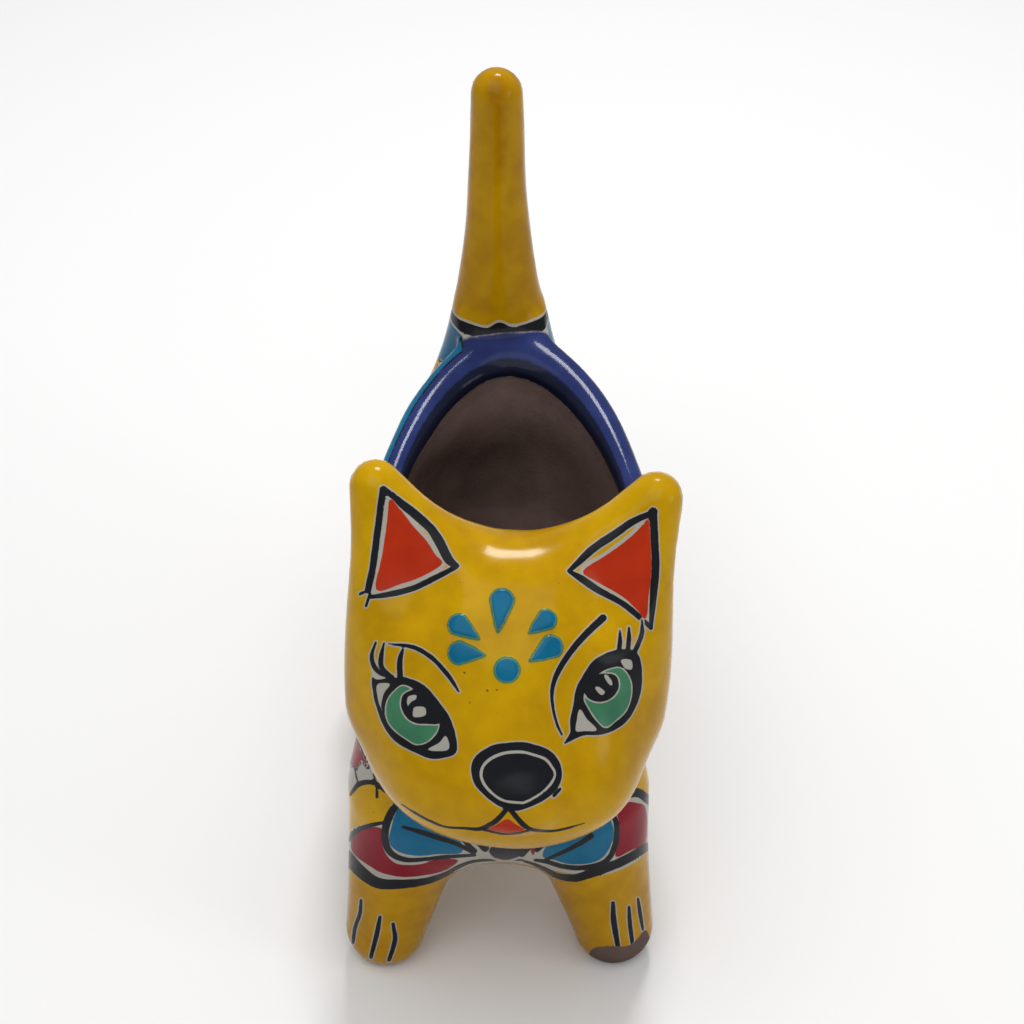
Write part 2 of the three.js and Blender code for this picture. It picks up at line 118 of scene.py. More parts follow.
@dataclass
class CatForm:
    """The cat's form as a distance field, in millimetres, with the body's middle over y = 0."""

    body_length: float = 184
    body_width: float = 98
    body_height: float = 86
    belly_height: float = 40
    wall: float = 8
    loaf_power: float = 2.9
    loaf_end_power: float = 2.3
    rump_narrowing: float = 0.03
    body_lean: float = -3.2

    stance_width: float = 108
    paw_radius: float = 14
    sole_cut: float = 2
    hip_radius: float = 22
    hip_height: float = 70
    hip_inset: float = 11.5
    front_leg_inset: float = 11
    rear_leg_inset: float = 25
    leg_lean: float = -2.3

    tail_height: float = 243
    tail_tip_radius: float = 9.4
    tail_taper: float = 4.2
    tail_flare: float = 17
    tail_flatten: float = 0.5
    tail_root_height: float = 105
    tail_tip_overhang: float = 27
    tail_sweep: float = 10
    tail_offset: float = -0.9
    tail_lean: float = 0.5

    head_width: float = 97
    head_height: float = 99.5
    head_depth: float = 68
    head_power: float = 2.4
    jaw_narrowing: float = 0.04
    jaw_rise: float = 2.5
    head_reach: float = 10
    head_lift: float = 59.3
    head_tilt: float = 21
    head_roll: float = -2.9
    head_offset: float = 0.3

    ear_round: float = 8
    ear_thickness: float = 17
    ear_rise: float = 12.5
    ear_spread: float = 5.5
    ear_inner: float = 20
    ear_inner_drop: float = 9
    ear_base_inset: float = 5.5
    ear_base_drop: float = 6
    ear_hollow_floor: float = 14
    ear_hollow_width: float = 28
    ear_hollow_height: float = 34
    ear_hollow_inset: float = 15
    ear_hollow_up: float = 41

    muzzle_width: float = 60
    muzzle_height: float = 33
    muzzle_depth: float = 30
    muzzle_out: float = 12
    muzzle_drop: float = 24
    muzzle_shift: float = 2.8
    nose_width: float = 26
    nose_height: float = 20
    nose_depth: float = 14
    nose_out: float = 1.5
    nose_drop: float = 24.5
    nose_shift: float = 4.8

    neck_root_radius: float = 38
    neck_head_radius: float = 31
    neck_root_inset: float = 30

    rim_inset: float = 2.5
    rim_front_inset: float = 37
    rim_rear_inset: float = -3
    rim_shift: float = 2.8
    rim_drop: float = 6
    rim_rise_rear: float = 17
    rim_rise_front: float = 8
    rim_front_power: float = 2.3
    rim_rear_power: float = 1.88
    lip_radius: float = 4.7
    wall_lean: float = 0.2

    leg_blend: float = 18
    tail_blend: float = 26
    neck_blend: float = 18
    head_blend: float = 10
    ear_blend: float = 12
    muzzle_blend: float = 22
    nose_blend: float = 3
    shoulder_blend: float = 14
    edge_blend: float = 4
    hand_waver: float = 0.35

    def __post_init__(self) -> None:
        """Works out the places that follow from the sizes."""
        self.half_length = self.body_length / 2
        self.half_width = self.body_width / 2
        self.half_height = self.body_height / 2
        self.body_middle = self.belly_height + self.half_height
        self.face_front = self.head_depth / 2
        self.paw_x = self.stance_width / 2 - self.paw_radius
        self.leg_rows = (
            -self.half_length + self.front_leg_inset, self.half_length - self.rear_leg_inset)
        self.head_centre = np.array([
            self.head_offset, -self.half_length - self.head_reach,
            self.body_middle + self.head_lift])
        self.neck_root = (
            self.body_lean, -self.half_length + self.neck_root_inset, self.body_middle)
        self.tail_tip_middle = self.tail_height - self.tail_tip_radius
        self.rim_half_width = self.half_width - self.rim_inset
        self.rim_front = self.half_length - self.rim_front_inset
        self.rim_rear = self.half_length - self.rim_rear_inset
        self.rim_low = self.belly_height + self.body_height - self.rim_drop
        self.rim_top = self.rim_low + self.rim_rise_rear
        half_head = self.head_width / 2
        self.ear_corners = np.array([
            [half_head - self.ear_spread, self.head_height / 2 + self.ear_rise],
            [self.ear_inner, self.head_height / 2 - self.ear_inner_drop],
            [half_head - self.ear_spread - self.ear_base_inset, -self.ear_base_drop]])

    def loaf(self, p: Array, grow: float) -> Array:
        """The body's loaf, grown outwards by the given amount."""
        along = p[..., 1] / (self.half_length + grow)
        narrow = 1 - self.rump_narrowing * np.clip(along, 0, 1.2) ** 2
        across = (p[..., 0] - self.body_lean) / ((self.half_width + grow) * narrow)
        up = (p[..., 2] - self.body_middle) / (self.half_height + grow)
        section = power_length(across, up, self.loaf_power)
        return (power_length(section, along, self.loaf_end_power) - 1) * (self.half_height + grow)

    def legs(self, p: Array, whole: Array) -> Array:
        """The given distance with the four legs blended into it."""
        for y in self.leg_rows:
            for side in (-1, 1):
                hip = (self.leg_lean + side * (self.paw_x - self.hip_inset), y * 0.94, self.hip_height)
                paw = (self.leg_lean + side * self.paw_x, y, self.paw_radius - self.sole_cut)
                leg = limb(p, hip, paw, self.hip_radius, self.paw_radius)
                whole = blend(whole, leg, self.leg_blend)
        return whole

    def tail(self, p: Array) -> Array:
        """The tail: round slices that sweep back, with a radius that grows downwards."""
        x, y, z = p[..., 0], p[..., 1], p[..., 2]
        span = self.tail_tip_middle - self.tail_root_height
        down = np.clip((self.tail_tip_middle - z) / span, 0, 1.2)
        middle_y = self.half_length + self.tail_tip_overhang - self.tail_sweep * down ** 1.8
        middle_x = self.tail_offset - self.tail_lean * (1 - down)
        widening = self.tail_flare * down ** 3
        radius = self.tail_tip_radius + self.tail_taper * down + widening
        along = (y - middle_y) * radius / (radius - self.tail_flatten * widening)
        above = np.maximum(z - self.tail_tip_middle, 0)
        below = np.maximum(self.tail_root_height - z, 0)
        away = np.sqrt((x - middle_x) ** 2 + along ** 2 + above ** 2 + below ** 2)
        return away - radius

    def in_head(self, p: Array) -> Array:
        """Points in the head's own frame: across the face, out of it and up it."""
        tilt, roll = math.radians(self.head_tilt), math.radians(self.head_roll)
        out = np.array([0, -math.cos(tilt), math.sin(tilt)])
        upright = np.array([0, math.sin(tilt), math.cos(tilt)])
        up = upright * math.cos(roll) + np.cross(out, upright) * math.sin(roll)
        axes = np.array([np.cross(up, out), out, up])
        return (p - self.head_centre) @ axes.T

    def skull(self, q: Array) -> Array:
        """The skull without ears or muzzle."""
        half_width, half_height = self.head_width / 2, self.head_height / 2
        chinward = np.clip(-q[..., 2] / half_height, 0, 1.2)
        half_across = half_width * (1 - self.jaw_narrowing * chinward)
        half_up = np.where(q[..., 2] < 0, half_height - self.jaw_rise, half_height)
        shield = power_length(q[..., 0] / half_across, q[..., 2] / half_up, self.head_power)
        return (np.hypot(shield, q[..., 1] / self.face_front) - 1) * self.face_front

    def ears(self, q: Array) -> Array:
        """Both ears: flat triangles with round edges."""
        flat = polygon_distance(np.stack([np.abs(q[..., 0]), q[..., 2]], -1), self.ear_corners)
        thick = np.abs(q[..., 1]) - (self.ear_thickness / 2 - self.ear_round)
        outside = np.hypot(np.maximum(flat, 0), np.maximum(thick, 0))
        return outside + np.minimum(np.maximum(flat, thick), 0) - self.ear_round

    def ear_hollows(self, q: Array) -> Array:
        """The shallow hollows pressed into the ears' fronts."""
        half = self.ear_hollow_width / 2
        centre = (self.head_width / 2 - self.ear_hollow_inset, self.ear_hollow_floor + half,
                  self.ear_hollow_up)
        folded = np.stack([np.abs(q[..., 0]), q[..., 1], q[..., 2]], -1)
        return ellipsoid(folded, centre, (half, half, self.ear_hollow_height / 2))

    def head(self, p: Array) -> Array:
        """The whole head."""
        q = self.in_head(p)
        muzzle = ellipsoid(
            q, (self.muzzle_shift, self.face_front - self.muzzle_out, -self.muzzle_drop),
            (self.muzzle_width / 2, self.muzzle_depth / 2, self.muzzle_height / 2))
        nose = ellipsoid(
            q, (self.nose_shift, self.face_front + self.nose_out, -self.nose_drop),
            (self.nose_width / 2, self.nose_depth / 2, self.nose_height / 2))
        distance = blend(self.skull(q), self.ears(q), self.ear_blend)
        distance = meet(distance, -self.ear_hollows(q), self.edge_blend * 2)
        distance = blend(distance, muzzle, self.muzzle_blend)
        return blend(distance, nose, self.nose_blend)

    def rim_height(self, y: Array) -> Array:
        """Height of the rim's centre line at a place along the body."""
        rear = self.rim_rise_rear * np.clip(y / self.rim_rear, 0, 1.1) ** 2
        front = self.rim_rise_front * np.clip(-y / self.rim_front, 0, None) ** 2
        return self.rim_low + rear + front

    def rim_plan(self, p: Array) -> Array:
        """Distance in plan from the rim's centre line, negative inside the opening."""
        rear = p[..., 1] > 0
        along = p[..., 1] / np.where(rear, self.rim_rear, self.rim_front)
        power = np.where(rear, self.rim_rear_power, self.rim_front_power)
        across = (p[..., 0] - self.rim_shift) / self.rim_half_width
        return (power_length(across, along, power) - 1) * self.rim_half_width

    def body(self, p: Array) -> Array:
        """Everything but the head, with the back still closed."""
        neck = limb(p, self.neck_root, self.head_centre, self.neck_root_radius, self.neck_head_radius)
        distance = self.legs(p, self.loaf(p, 0))
        distance = blend(distance, self.tail(p), self.tail_blend)
        return blend(distance, neck, self.neck_blend)

    def outer(self, p: Array) -> Array:
        """The outer surface, with the back still closed."""
        over_rim = p[..., 2] - self.rim_height(p[..., 1])
        plan = self.rim_plan(p) + self.wall_lean * np.maximum(-over_rim, 0)
        wall = meet(plan - self.lip_radius * 0.6, over_rim, self.edge_blend / 2)
        wall = meet(wall, self.body_middle - p[..., 2], self.edge_blend)
        distance = blend(self.body(p), self.head(p), self.head_blend)
        return blend(distance, wall, self.shoulder_blend)

    def hollow(self, p: Array) -> Array:
        """The planting hollow and the opening above it."""
        over_rim = p[..., 2] - self.rim_height(p[..., 1])
        below_rim = np.clip(0.5 - over_rim / (2 * self.lip_radius), 0, 1)
        inset = -self.lip_radius * 0.5 * (1 - below_rim) + (self.wall - self.lip_radius) * below_rim
        plan = self.rim_plan(p) + self.wall_lean * np.maximum(-over_rim, 0)
        mouth = meet(plan + inset, self.body_middle - p[..., 2], self.edge_blend)
        return blend(self.loaf(p, -self.wall), mouth, self.edge_blend * 4)

    def lip(self, p: Array) -> Array:
        """The rolled lip round the opening."""
        return np.hypot(self.rim_plan(p), p[..., 2] - self.rim_height(p[..., 1])) - self.lip_radius

    def waver(self, p: Array) -> Array:
        """Slow unevenness of a hand-made surface."""
        x, y, z = p[..., 0], p[..., 1], p[..., 2]
        slow = np.sin(x / 13 + 1.3) * np.sin(y / 17 + 0.4) * np.sin(z / 15 + 2.1)
        quick = np.sin(x / 6.1 + y / 9.3) * np.sin(z / 7.2 - y / 8.1 + 0.9)
        return self.hand_waver * (slow + 0.35 * quick)

    def whole(self, p: Array) -> Array:
        """The finished piece's surface."""
        distance = meet(self.outer(p), -self.hollow(p), self.edge_blend * 0.6)
        distance = blend(distance, self.lip(p), self.edge_blend) + self.waver(p)
        return meet(distance, -p[..., 2], FLOOR_EDGE)


@dataclass
class SurfaceNet:
    """Meshes a distance field: one point in each grid cell that the surface crosses."""

    form: Form
    low: Point
    high: Point
    step: float

    def lines(self) -> list[Array]:
        """Grid coordinates along each axis."""
        return [np.arange(a, b + self.step, self.step) for a, b in zip(self.low, self.high)]

    @staticmethod
    def shifted(values: Array, axis: int, start: int) -> Array:
        """The values without the last (start 0) or the first (start 1) layer along an axis."""
        cut = [slice(None)] * 3
        cut[axis] = slice(start, -1 if start == 0 else None)
        return values[tuple(cut)]

    def calm(self, values: Array) -> int:
        """Turns the weakest corner of each grid square whose signs alternate like a chessboard.

        Args:
            values: the field on the grid, changed in place.

        Returns:
            How many corners were turned.
        """
        turned = 0
        for u, v in ((0, 1), (1, 2), (2, 0)):
            corners = [self.shifted(self.shifted(values, u, a), v, b)
                       for a, b in ((0, 0), (1, 0), (1, 1), (0, 1))]
            inside = [c < 0 for c in corners]
            mixed = (inside[0] == inside[2]) & (inside[1] == inside[3]) & (inside[0] != inside[1])
            for place in np.argwhere(mixed):
                at = [place.copy() for _ in range(4)]
                for spot, (a, b) in zip(at, ((0, 0), (1, 0), (1, 1), (0, 1))):
                    spot[u] += a
                    spot[v] += b
                weakest = min(at, key=lambda spot: abs(values[tuple(spot)]))
                values[tuple(weakest)] *= -1
                turned += 1
        return turned

    def build(self) -> tuple[Array, Array]:
        """Meshes the field.

        Returns:
            The points and the triangles, with their faces outwards.
        """
        lines = self.lines()
        grid = np.stack(np.meshgrid(*lines, indexing="ij"), -1)
        values = np.stack([self.form(layer) for layer in grid])
        for _ in range(6):
            if not self.calm(values):
                break
        inside = values < 0
        total = np.zeros(tuple(n - 1 for n in values.shape) + (3,))
        count = np.zeros(total.shape[:3])
        rings = []
        for axis in range(3):
            here, there = self.shifted(values, axis, 0), self.shifted(values, axis, 1)
            start_inside = self.shifted(inside, axis, 0)
            crossed = start_inside != self.shifted(inside, axis, 1)
            t = (here[crossed] / (here[crossed] - there[crossed]))[:, None]
            crossing = (self.shifted(grid, axis, 0)[crossed] * (1 - t)
                        + self.shifted(grid, axis, 1)[crossed] * t)
            first, second = (axis + 1) % 3, (axis + 2) % 3
            ring = []
            for a, b in ((0, 0), (-1, 0), (-1, -1), (0, -1)):
                cell = np.argwhere(crossed)
                cell[:, first] += a
                cell[:, second] += b
                np.add.at(total, tuple(cell.T), crossing)
                np.add.at(count, tuple(cell.T), 1)
                ring.append(cell)
            rings.append((ring, start_inside[crossed]))
        used = count > 0
        index = np.full(count.shape, -1)
        index[used] = np.arange(used.sum())
        points = total[used] / count[used][:, None]
        quads = []
        for ring, outwards in rings:
            quad = np.stack([index[tuple(cell.T)] for cell in ring], 1)
            quads.append(np.where(outwards[:, None], quad, quad[:, ::-1]))
        quads = np.concatenate(quads)
        cells = np.argwhere(used)
        low = np.array([line[0] for line in lines]) + cells * self.step
        return self.settled(points, low), self.split(points, quads)

    def settled(self, points: Array, low: Array) -> Array:
        """Points moved onto the surface, each within its own cell."""
        return np.clip(settle(points, self.form), low, low + self.step)

    @staticmethod
    def split(points: Array, quads: Array) -> Array:
        """Four-sided faces cut along their shorter diagonal."""
        a, b, c, d = quads.T
        straight = (np.linalg.norm(points[a] - points[c], axis=1)
                    <= np.linalg.norm(points[b] - points[d], axis=1))[:, None]
        one = np.where(straight, np.stack([a, b, c], 1), np.stack([b, c, d], 1))
        two = np.where(straight, np.stack([a, c, d], 1), np.stack([b, d, a], 1))
        return np.concatenate([one, two])


def slope(points: Array, form: Form, reach: float = 0.05) -> Array:
    """Gradient of a form at the points."""
    steps = np.eye(3) * reach
    return np.stack([(form(points + s) - form(points - s)) / (2 * reach) for s in steps], -1)


def settle(points: Array, form: Form, rounds: int = 3, longest: float = 1.2) -> Array:
    """Points moved onto the surface where the form's distance is nought."""
    points = points.copy()
    for _ in range(rounds):
        gradient = slope(points, form)
        steep = np.maximum((gradient ** 2).sum(-1), 0.05)
        travel = form(points) / steep
        length = np.abs(travel) * np.sqrt(steep)
        share = np.minimum(1, longest / np.maximum(length, 1e-9))
        points -= gradient * (travel * share)[:, None]
    return points


@dataclass
class PhotoView:
    """The photographer's viewpoint, which places the camera and carries the brushwork."""

    target: Point = (3.1, -69.2, 192)
    distance: float = 726
    elevation: float = 37
    azimuth: float = -0.6
    focal_pixels: float = 2360
    picture: int = 1024

    def __post_init__(self) -> None:
        """Works out the viewpoint and its axes."""
        up_angle, around = math.radians(self.elevation), math.radians(self.azimuth)
        back = np.array([math.sin(around) * math.cos(up_angle),
                         -math.cos(around) * math.cos(up_angle), math.sin(up_angle)])
        self.right = np.array([math.cos(around), math.sin(around), 0])
        self.up = np.cross(back, self.right)
        self.back = back
        self.place = np.array(self.target) + back * self.distance

    def pixels(self, points: Array) -> tuple[Array, Array]:
        """Where points fall in the picture.

        Args:
            points: places in millimetres.

        Returns:
            Pixel coordinates, and how many pixels a millimetre spans at each point.
        """
        away = points - self.place
        scale = self.focal_pixels / -(away @ self.back)
        middle = self.picture / 2
        return np.stack([middle + scale * (away @ self.right),
                         middle - scale * (away @ self.up)], -1), scale

    def make_camera(self) -> bpy.types.Object:
        """The camera at the photographer's viewpoint."""
        camera = bpy.data.cameras.new("camera")
        camera.sensor_width = 36
        camera.lens = camera.sensor_width * self.focal_pixels / self.picture
        camera.clip_start = 0.05
        camera.clip_end = 20
        holder = bpy.data.objects.new("camera", camera)
        turn = Matrix((self.right, self.up, self.back)).transposed().to_4x4()
        holder.matrix_world = Matrix.Translation(Vector(self.place * MM)) @ turn
        bpy.context.collection.objects.link(holder)
        bpy.context.scene.camera = holder
        return holder


class Glaze(Enum):
    """The painter's glazes in the order they lie on each other, over the yellow."""

    WHITE = "white"
    CLAY = "clay"
    COBALT = "cobalt"
    SKY = "sky"
    GREEN = "green"
    RED = "red"
    CRIMSON = "crimson"
    # Dark blue for the bow's knot, and painted shade on the lip's inner face.
    NAVY = "navy"
    INK = "ink"


def smooth_curve(knots: Array, closed: bool, pieces: int = 5) -> Array:
    """Points on a Catmull-Rom curve through the knots, with any further values carried along.

    Args:
        knots: one row for each knot.
        closed: whether the curve runs back to its start.
        pieces: how many pieces each span is cut into.

    Returns:
        The rows along the curve.
    """
    if closed:
        before, after, last = np.roll(knots, 1, 0), np.roll(knots, -2, 0), np.roll(knots, -1, 0)
        start = knots
    else:
        padded = np.vstack([2 * knots[0] - knots[1], knots, 2 * knots[-1] - knots[-2]])
        before, start, last, after = padded[:-3], padded[1:-2], padded[2:-1], padded[3:]
    t = (np.arange(pieces) / pieces)[None, :, None]
    before, start, last, after = (rows[:, None] for rows in (before, start, last, after))
    rows = start + 0.5 * t * (last - before + t * (
        2 * before - 5 * start + 4 * last - after + t * (3 * (start - last) + after - before)))
    rows = rows.reshape(-1, knots.shape[1])
    return rows if closed else np.vstack([rows, knots[-1]])


@dataclass(frozen=True)
class Stroke:
    """A brush line: a smooth curve through its knots, with a width at each knot."""

    knots: tuple[Pixel, ...]
    widths: tuple[float, ...] | float

    def distance(self, q: Array, reach: float = 40) -> Array:
        """Distance to the stroke's edge, negative inside, in the units of its knots."""
        widths = np.broadcast_to(self.widths, len(self.knots))
        line = smooth_curve(np.column_stack([self.knots, widths]), False)
        low, high = line[:, :2].min(0) - reach, line[:, :2].max(0) + reach
        near = ((q > low) & (q < high)).all(-1)
        result = np.full(len(q), reach, float)
        spot, best = q[near], np.full(near.sum(), float(reach))
        for a, b in zip(line[:-1], line[1:]):
            run = b[:2] - a[:2]
            t = np.clip(((spot - a[:2]) @ run) / max(run @ run, 1e-9), 0, 1)
            away = np.linalg.norm(spot - a[:2] - t[:, None] * run, axis=-1)
            best = np.minimum(best, away - (a[2] + (b[2] - a[2]) * t) / 2)
        result[near] = best
        return result


@dataclass(frozen=True)
class Patch:
    """A field of glaze inside a closed outline, smooth or with straight sides."""

    knots: tuple[Pixel, ...]
    smooth: bool = True

    def distance(self, q: Array, reach: float = 40) -> Array:
        """Distance to the field's edge, negative inside, in the units of its knots."""
        line = np.array(self.knots, float)
        if self.smooth:
            line = smooth_curve(line, True, 4)
        near = ((q > line.min(0) - reach) & (q < line.max(0) + reach)).all(-1)
        result = np.full(len(q), reach, float)
        result[near] = np.minimum(polygon_distance(q[near], line), reach)
        return result


@dataclass(frozen=True)
class Drop:
    """A drop of raised glaze: a round end that runs out to a tip."""

    centre: Pixel
    radius: float
    tip: Pixel

    def distance(self, q: Array) -> Array:
        """Distance to the drop's edge, negative inside, in pixels."""
        centre, run = np.array(self.centre), np.array(self.tip) - np.array(self.centre)
        t = np.clip(((q - centre) @ run) / max(run @ run, 1e-9), 0, 1)
        away = np.linalg.norm(q - centre - t[:, None] * run, axis=-1)
        return away - self.radius * (1 - t) ** 0.8


@dataclass
class Site:
    """Where the mesh's points are: on the piece, on the head and in the photo."""

    form: CatForm
    view: PhotoView
    points: Array
    shift: Array
    bow_depth: float = 34
    chin_gap: float = 1.0
    inner_skin: float = 2.5
    tail_front: float = 20

    def __post_init__(self) -> None:
        """Works out the masks, each a distance that is negative where the paint may go."""
        form, p = self.form, self.points
        self.x, self.y, self.z = p.T
        self.pixels, self.scale = self.view.pixels(p + self.shift)
        head, body = form.head(p), form.body(p)
        self.head_frame = form.in_head(p)
        self.on_head = (head - body) / 2
        self.on_face = np.maximum(self.on_head, -self.head_frame[:, 1])
        self.under_chin = np.maximum(
            -self.on_head - self.chin_gap, self.y + form.half_length - self.bow_depth)
        self.indoors = form.outer(p) + self.inner_skin
        self.over_rim = self.z - form.rim_height(self.y)
        self.rim_out = form.rim_plan(p)
        self.on_lip = form.lip(p)
        self.on_tail = np.maximum(form.tail(p), self.tail_front - self.y)

    def in_photo(self, mark: Stroke | Patch | Drop) -> Array:
        """Distance in millimetres to a mark that is given in the photo's pixels."""
        return mark.distance(self.pixels) / self.scale


class Canvas:
    """The glazes on a set of points: for each glaze the distance to its nearest edge."""

    far: float = 12

    def __init__(self, site: Site) -> None:
        self.site = site
        self.depth = {glaze: np.full(len(site.points), self.far, float) for glaze in Glaze}
        self.raised = np.zeros(len(site.points))

    def paint(self, glaze: Glaze | None, distance: Array, mask: Array | None = None) -> None:
        """Lays a glaze over a region, or bares the yellow there when the glaze is None.

        Args:
            glaze: what is laid on.
            distance: distance to the region's edge in millimetres, negative inside.
            mask: a second distance that limits the region.
        """
        if mask is not None:
            distance = np.maximum(distance, mask)
        ranks = list(Glaze)
        rank = -1 if glaze is None else ranks.index(glaze)
        for above in ranks[rank + 1:]:
            self.depth[above] = np.maximum(self.depth[above], -distance)
        if glaze is not None:
            self.depth[glaze] = np.minimum(self.depth[glaze], distance)

    def draw(self, glaze: Glaze | None, marks: tuple, mask: Array | None = None) -> None:
        """Lays a glaze over marks that are given in the photo's pixels."""
        for mark in marks:
            self.paint(glaze, self.site.in_photo(mark), mask)

    def ink(self, marks: tuple, mask: Array | None = None, halo: float = 0.38) -> None:
        """Draws black brush lines with the thin pale halo that keeps the glazes apart."""
        for mark in marks:
            self.paint(Glaze.WHITE, self.site.in_photo(mark) - halo, mask)
        self.draw(Glaze.INK, marks, mask)

    def nearest_edge(self) -> Array:
        """Distance to the nearest edge of any glaze."""
        return np.min([np.abs(depth) for depth in self.depth.values()], axis=0)


@dataclass(frozen=True)
class EarPaint:
    """Both ears: a brush line round a white gap and a red middle."""

    left_line: tuple[Stroke, ...] = (
        Stroke(((383, 489), (381, 504), (378, 527), (373, 566), (368, 590)), 7),
        Stroke(((385, 489), (401, 503), (417, 516), (431, 529), (440, 543), (449, 560), (457, 566)),
               (5, 8, 9, 9, 10, 9, 5)),
        Stroke(((456, 567), (429, 581), (411, 589), (391, 594), (371, 597)), (5, 6, 6, 6, 4)),
        Stroke(((369, 590), (360, 594)), 3),
        Stroke(((370, 594), (366, 606)), 3))
    left_red: Patch = Patch(
        ((390, 498), (387, 521), (382, 556), (376, 590), (401, 584), (421, 577), (442, 564),
         (435, 554), (426, 540), (414, 527), (401, 510)))
    right_line: tuple[Stroke, ...] = (
        Stroke(((653, 511), (654, 540), (655, 570), (653, 600), (651, 626)), (8, 9, 9, 7, 4)),
        Stroke(((655, 512), (634, 521), (615, 534), (594, 548), (581, 560), (569, 571)),
               (6, 7, 8, 8, 7, 4)),
        Stroke(((570, 572), (582, 579), (598, 590), (620, 602), (636, 614), (651, 628)),
               (4, 7, 7, 6, 6, 4)))
    right_red: Patch = Patch(
        ((649, 518), (640, 528), (628, 539), (608, 554), (583, 571), (597, 582), (615, 592),
         (628, 601), (638, 612), (646, 619), (650, 590), (652, 568), (651, 540)))
    gap: float = 1.1
    red_over_line: float = 0.165

    def apply(self, canvas: Canvas) -> None:
        """Paints both ears."""
        for line, red in ((self.left_line, self.left_red), (self.right_line, self.right_red)):
            field_distance = canvas.site.in_photo(red)
            canvas.paint(Glaze.WHITE, field_distance - self.gap, canvas.site.on_face)
            canvas.paint(Glaze.RED, field_distance, canvas.site.on_face)
            canvas.ink(line, canvas.site.on_face)
            canvas.paint(Glaze.RED, field_distance + self.red_over_line, canvas.site.on_face)


@dataclass(frozen=True)
class EyePaint:
    """One eye, from its black lid down to the light in its pupil."""

    lid: Patch
    whites: tuple[Patch, ...]
    iris: Patch
    pupil: Patch
    lights: tuple[Patch, ...]
    lashes: tuple[Stroke, ...]
    brow: Stroke
    iris_ring: float = 0.35
    pupil_ring: float = 0.4

    def apply(self, canvas: Canvas) -> None:
        """Paints the eye, with its lashes drawn again at the end, over the whites."""
        mask = canvas.site.on_face
        canvas.ink((self.lid, *self.lashes, self.brow), mask)
        canvas.draw(Glaze.WHITE, self.whites, mask)
        iris, pupil = canvas.site.in_photo(self.iris), canvas.site.in_photo(self.pupil)
        canvas.paint(Glaze.WHITE, iris - self.iris_ring, mask)
        canvas.paint(Glaze.GREEN, iris, mask)
        canvas.paint(Glaze.WHITE, pupil - self.pupil_ring, np.maximum(mask, iris))
        canvas.paint(Glaze.INK, pupil, mask)
        canvas.draw(Glaze.WHITE, self.lights, mask)
        canvas.draw(Glaze.INK, self.lashes, mask)


LEFT_EYE = EyePaint(
    lid=Patch(((373, 676), (392, 678), (404, 677), (424, 685), (440, 703), (450, 718), (456, 737),
               (456, 753), (443, 758), (432, 759), (420, 755), (397, 743), (384, 727), (376, 706),
               (373, 693))),
    whites=(
        Patch(((377, 685), (390, 684), (384, 693), (381, 706), (384, 714), (379, 703))),
        Patch(((446, 736), (449, 749), (435, 751), (428, 749), (439, 743))),
        Patch(((371, 670), (375, 679), (386, 678), (378, 674)))),
    iris=Patch(((404, 686), (395, 691), (388, 700), (386, 712), (389, 723), (397, 732),
                (407, 739), (416, 744), (426, 742), (434, 735), (438, 727), (437, 712), (420, 695))),
    pupil=Patch(((412, 690), (403, 695), (401, 706), (406, 717), (415, 723), (427, 724), (440, 723),
                 (444, 710), (432, 695), (421, 688))),
    lights=(
        Patch(((408, 706), (407, 700), (409, 696), (416, 695), (416, 699), (411, 702))),
        Patch(((413, 711), (415, 707), (424, 707), (426, 712), (424, 716), (414, 717)))),
    lashes=(
        Stroke(((392, 677), (379, 672), (373, 664), (372, 654), (376, 642)), (5, 5, 5, 4, 2)),
        Stroke(((390, 676), (382, 668), (381, 658), (384, 643)), (5, 5, 5, 2)),
        Stroke(((400, 678), (400, 660), (403, 649)), (6, 5.5, 2.5))),
    brow=Stroke(((388, 644), (408, 646), (420, 650), (432, 658), (441, 667), (450, 678), (459, 692)),
                (1.5, 4, 4.6, 4.6, 4.6, 4.4, 2)))

RIGHT_EYE = EyePaint(
    lid=Patch(((622, 649), (635, 651), (641, 662), (642, 684), (638, 702), (628, 720), (615, 730),
               (600, 735), (582, 736), (564, 744), (570, 733), (570, 721), (573, 706), (576, 689),
               (583, 675), (592, 662), (602, 655), (612, 651))),
    whites=(
        Patch(((580, 709), (587, 719), (597, 730), (585, 731), (576, 731), (577, 719))),
        Patch(((621, 660), (631, 660), (632, 669), (625, 668)))),
    iris=Patch(((585, 695), (589, 708), (598, 721), (606, 727), (616, 720), (626, 710),
                (631, 695), (630, 680), (622, 669), (612, 669), (598, 676))),
    pupil=Patch(((600, 674), (589, 680), (584, 690), (589, 699), (601, 702), (613, 697),
                 (619, 686), (615, 675))),
    lights=(
        Patch(((604, 676), (607, 675), (612, 681), (612, 686), (608, 683))),
        Patch(((595, 688), (599, 687), (605, 692), (601, 695)))),
    lashes=(
        Stroke(((619, 652), (620, 641), (620, 630)), (5, 4.5, 2)),
        Stroke(((628, 650), (629, 638), (629, 627)), (5, 4.5, 2)),
        Stroke(((634, 653), (639, 642), (642, 632), (642, 620)), (5, 5, 4.5, 2))),
    brow=Stroke(((603, 618), (589, 631), (576, 645), (565, 660), (556, 676), (552, 692), (553, 708),
                 (557, 724), (562, 735)), (7.6, 7, 6.5, 6, 5.5, 4, 3, 2.6, 2)))


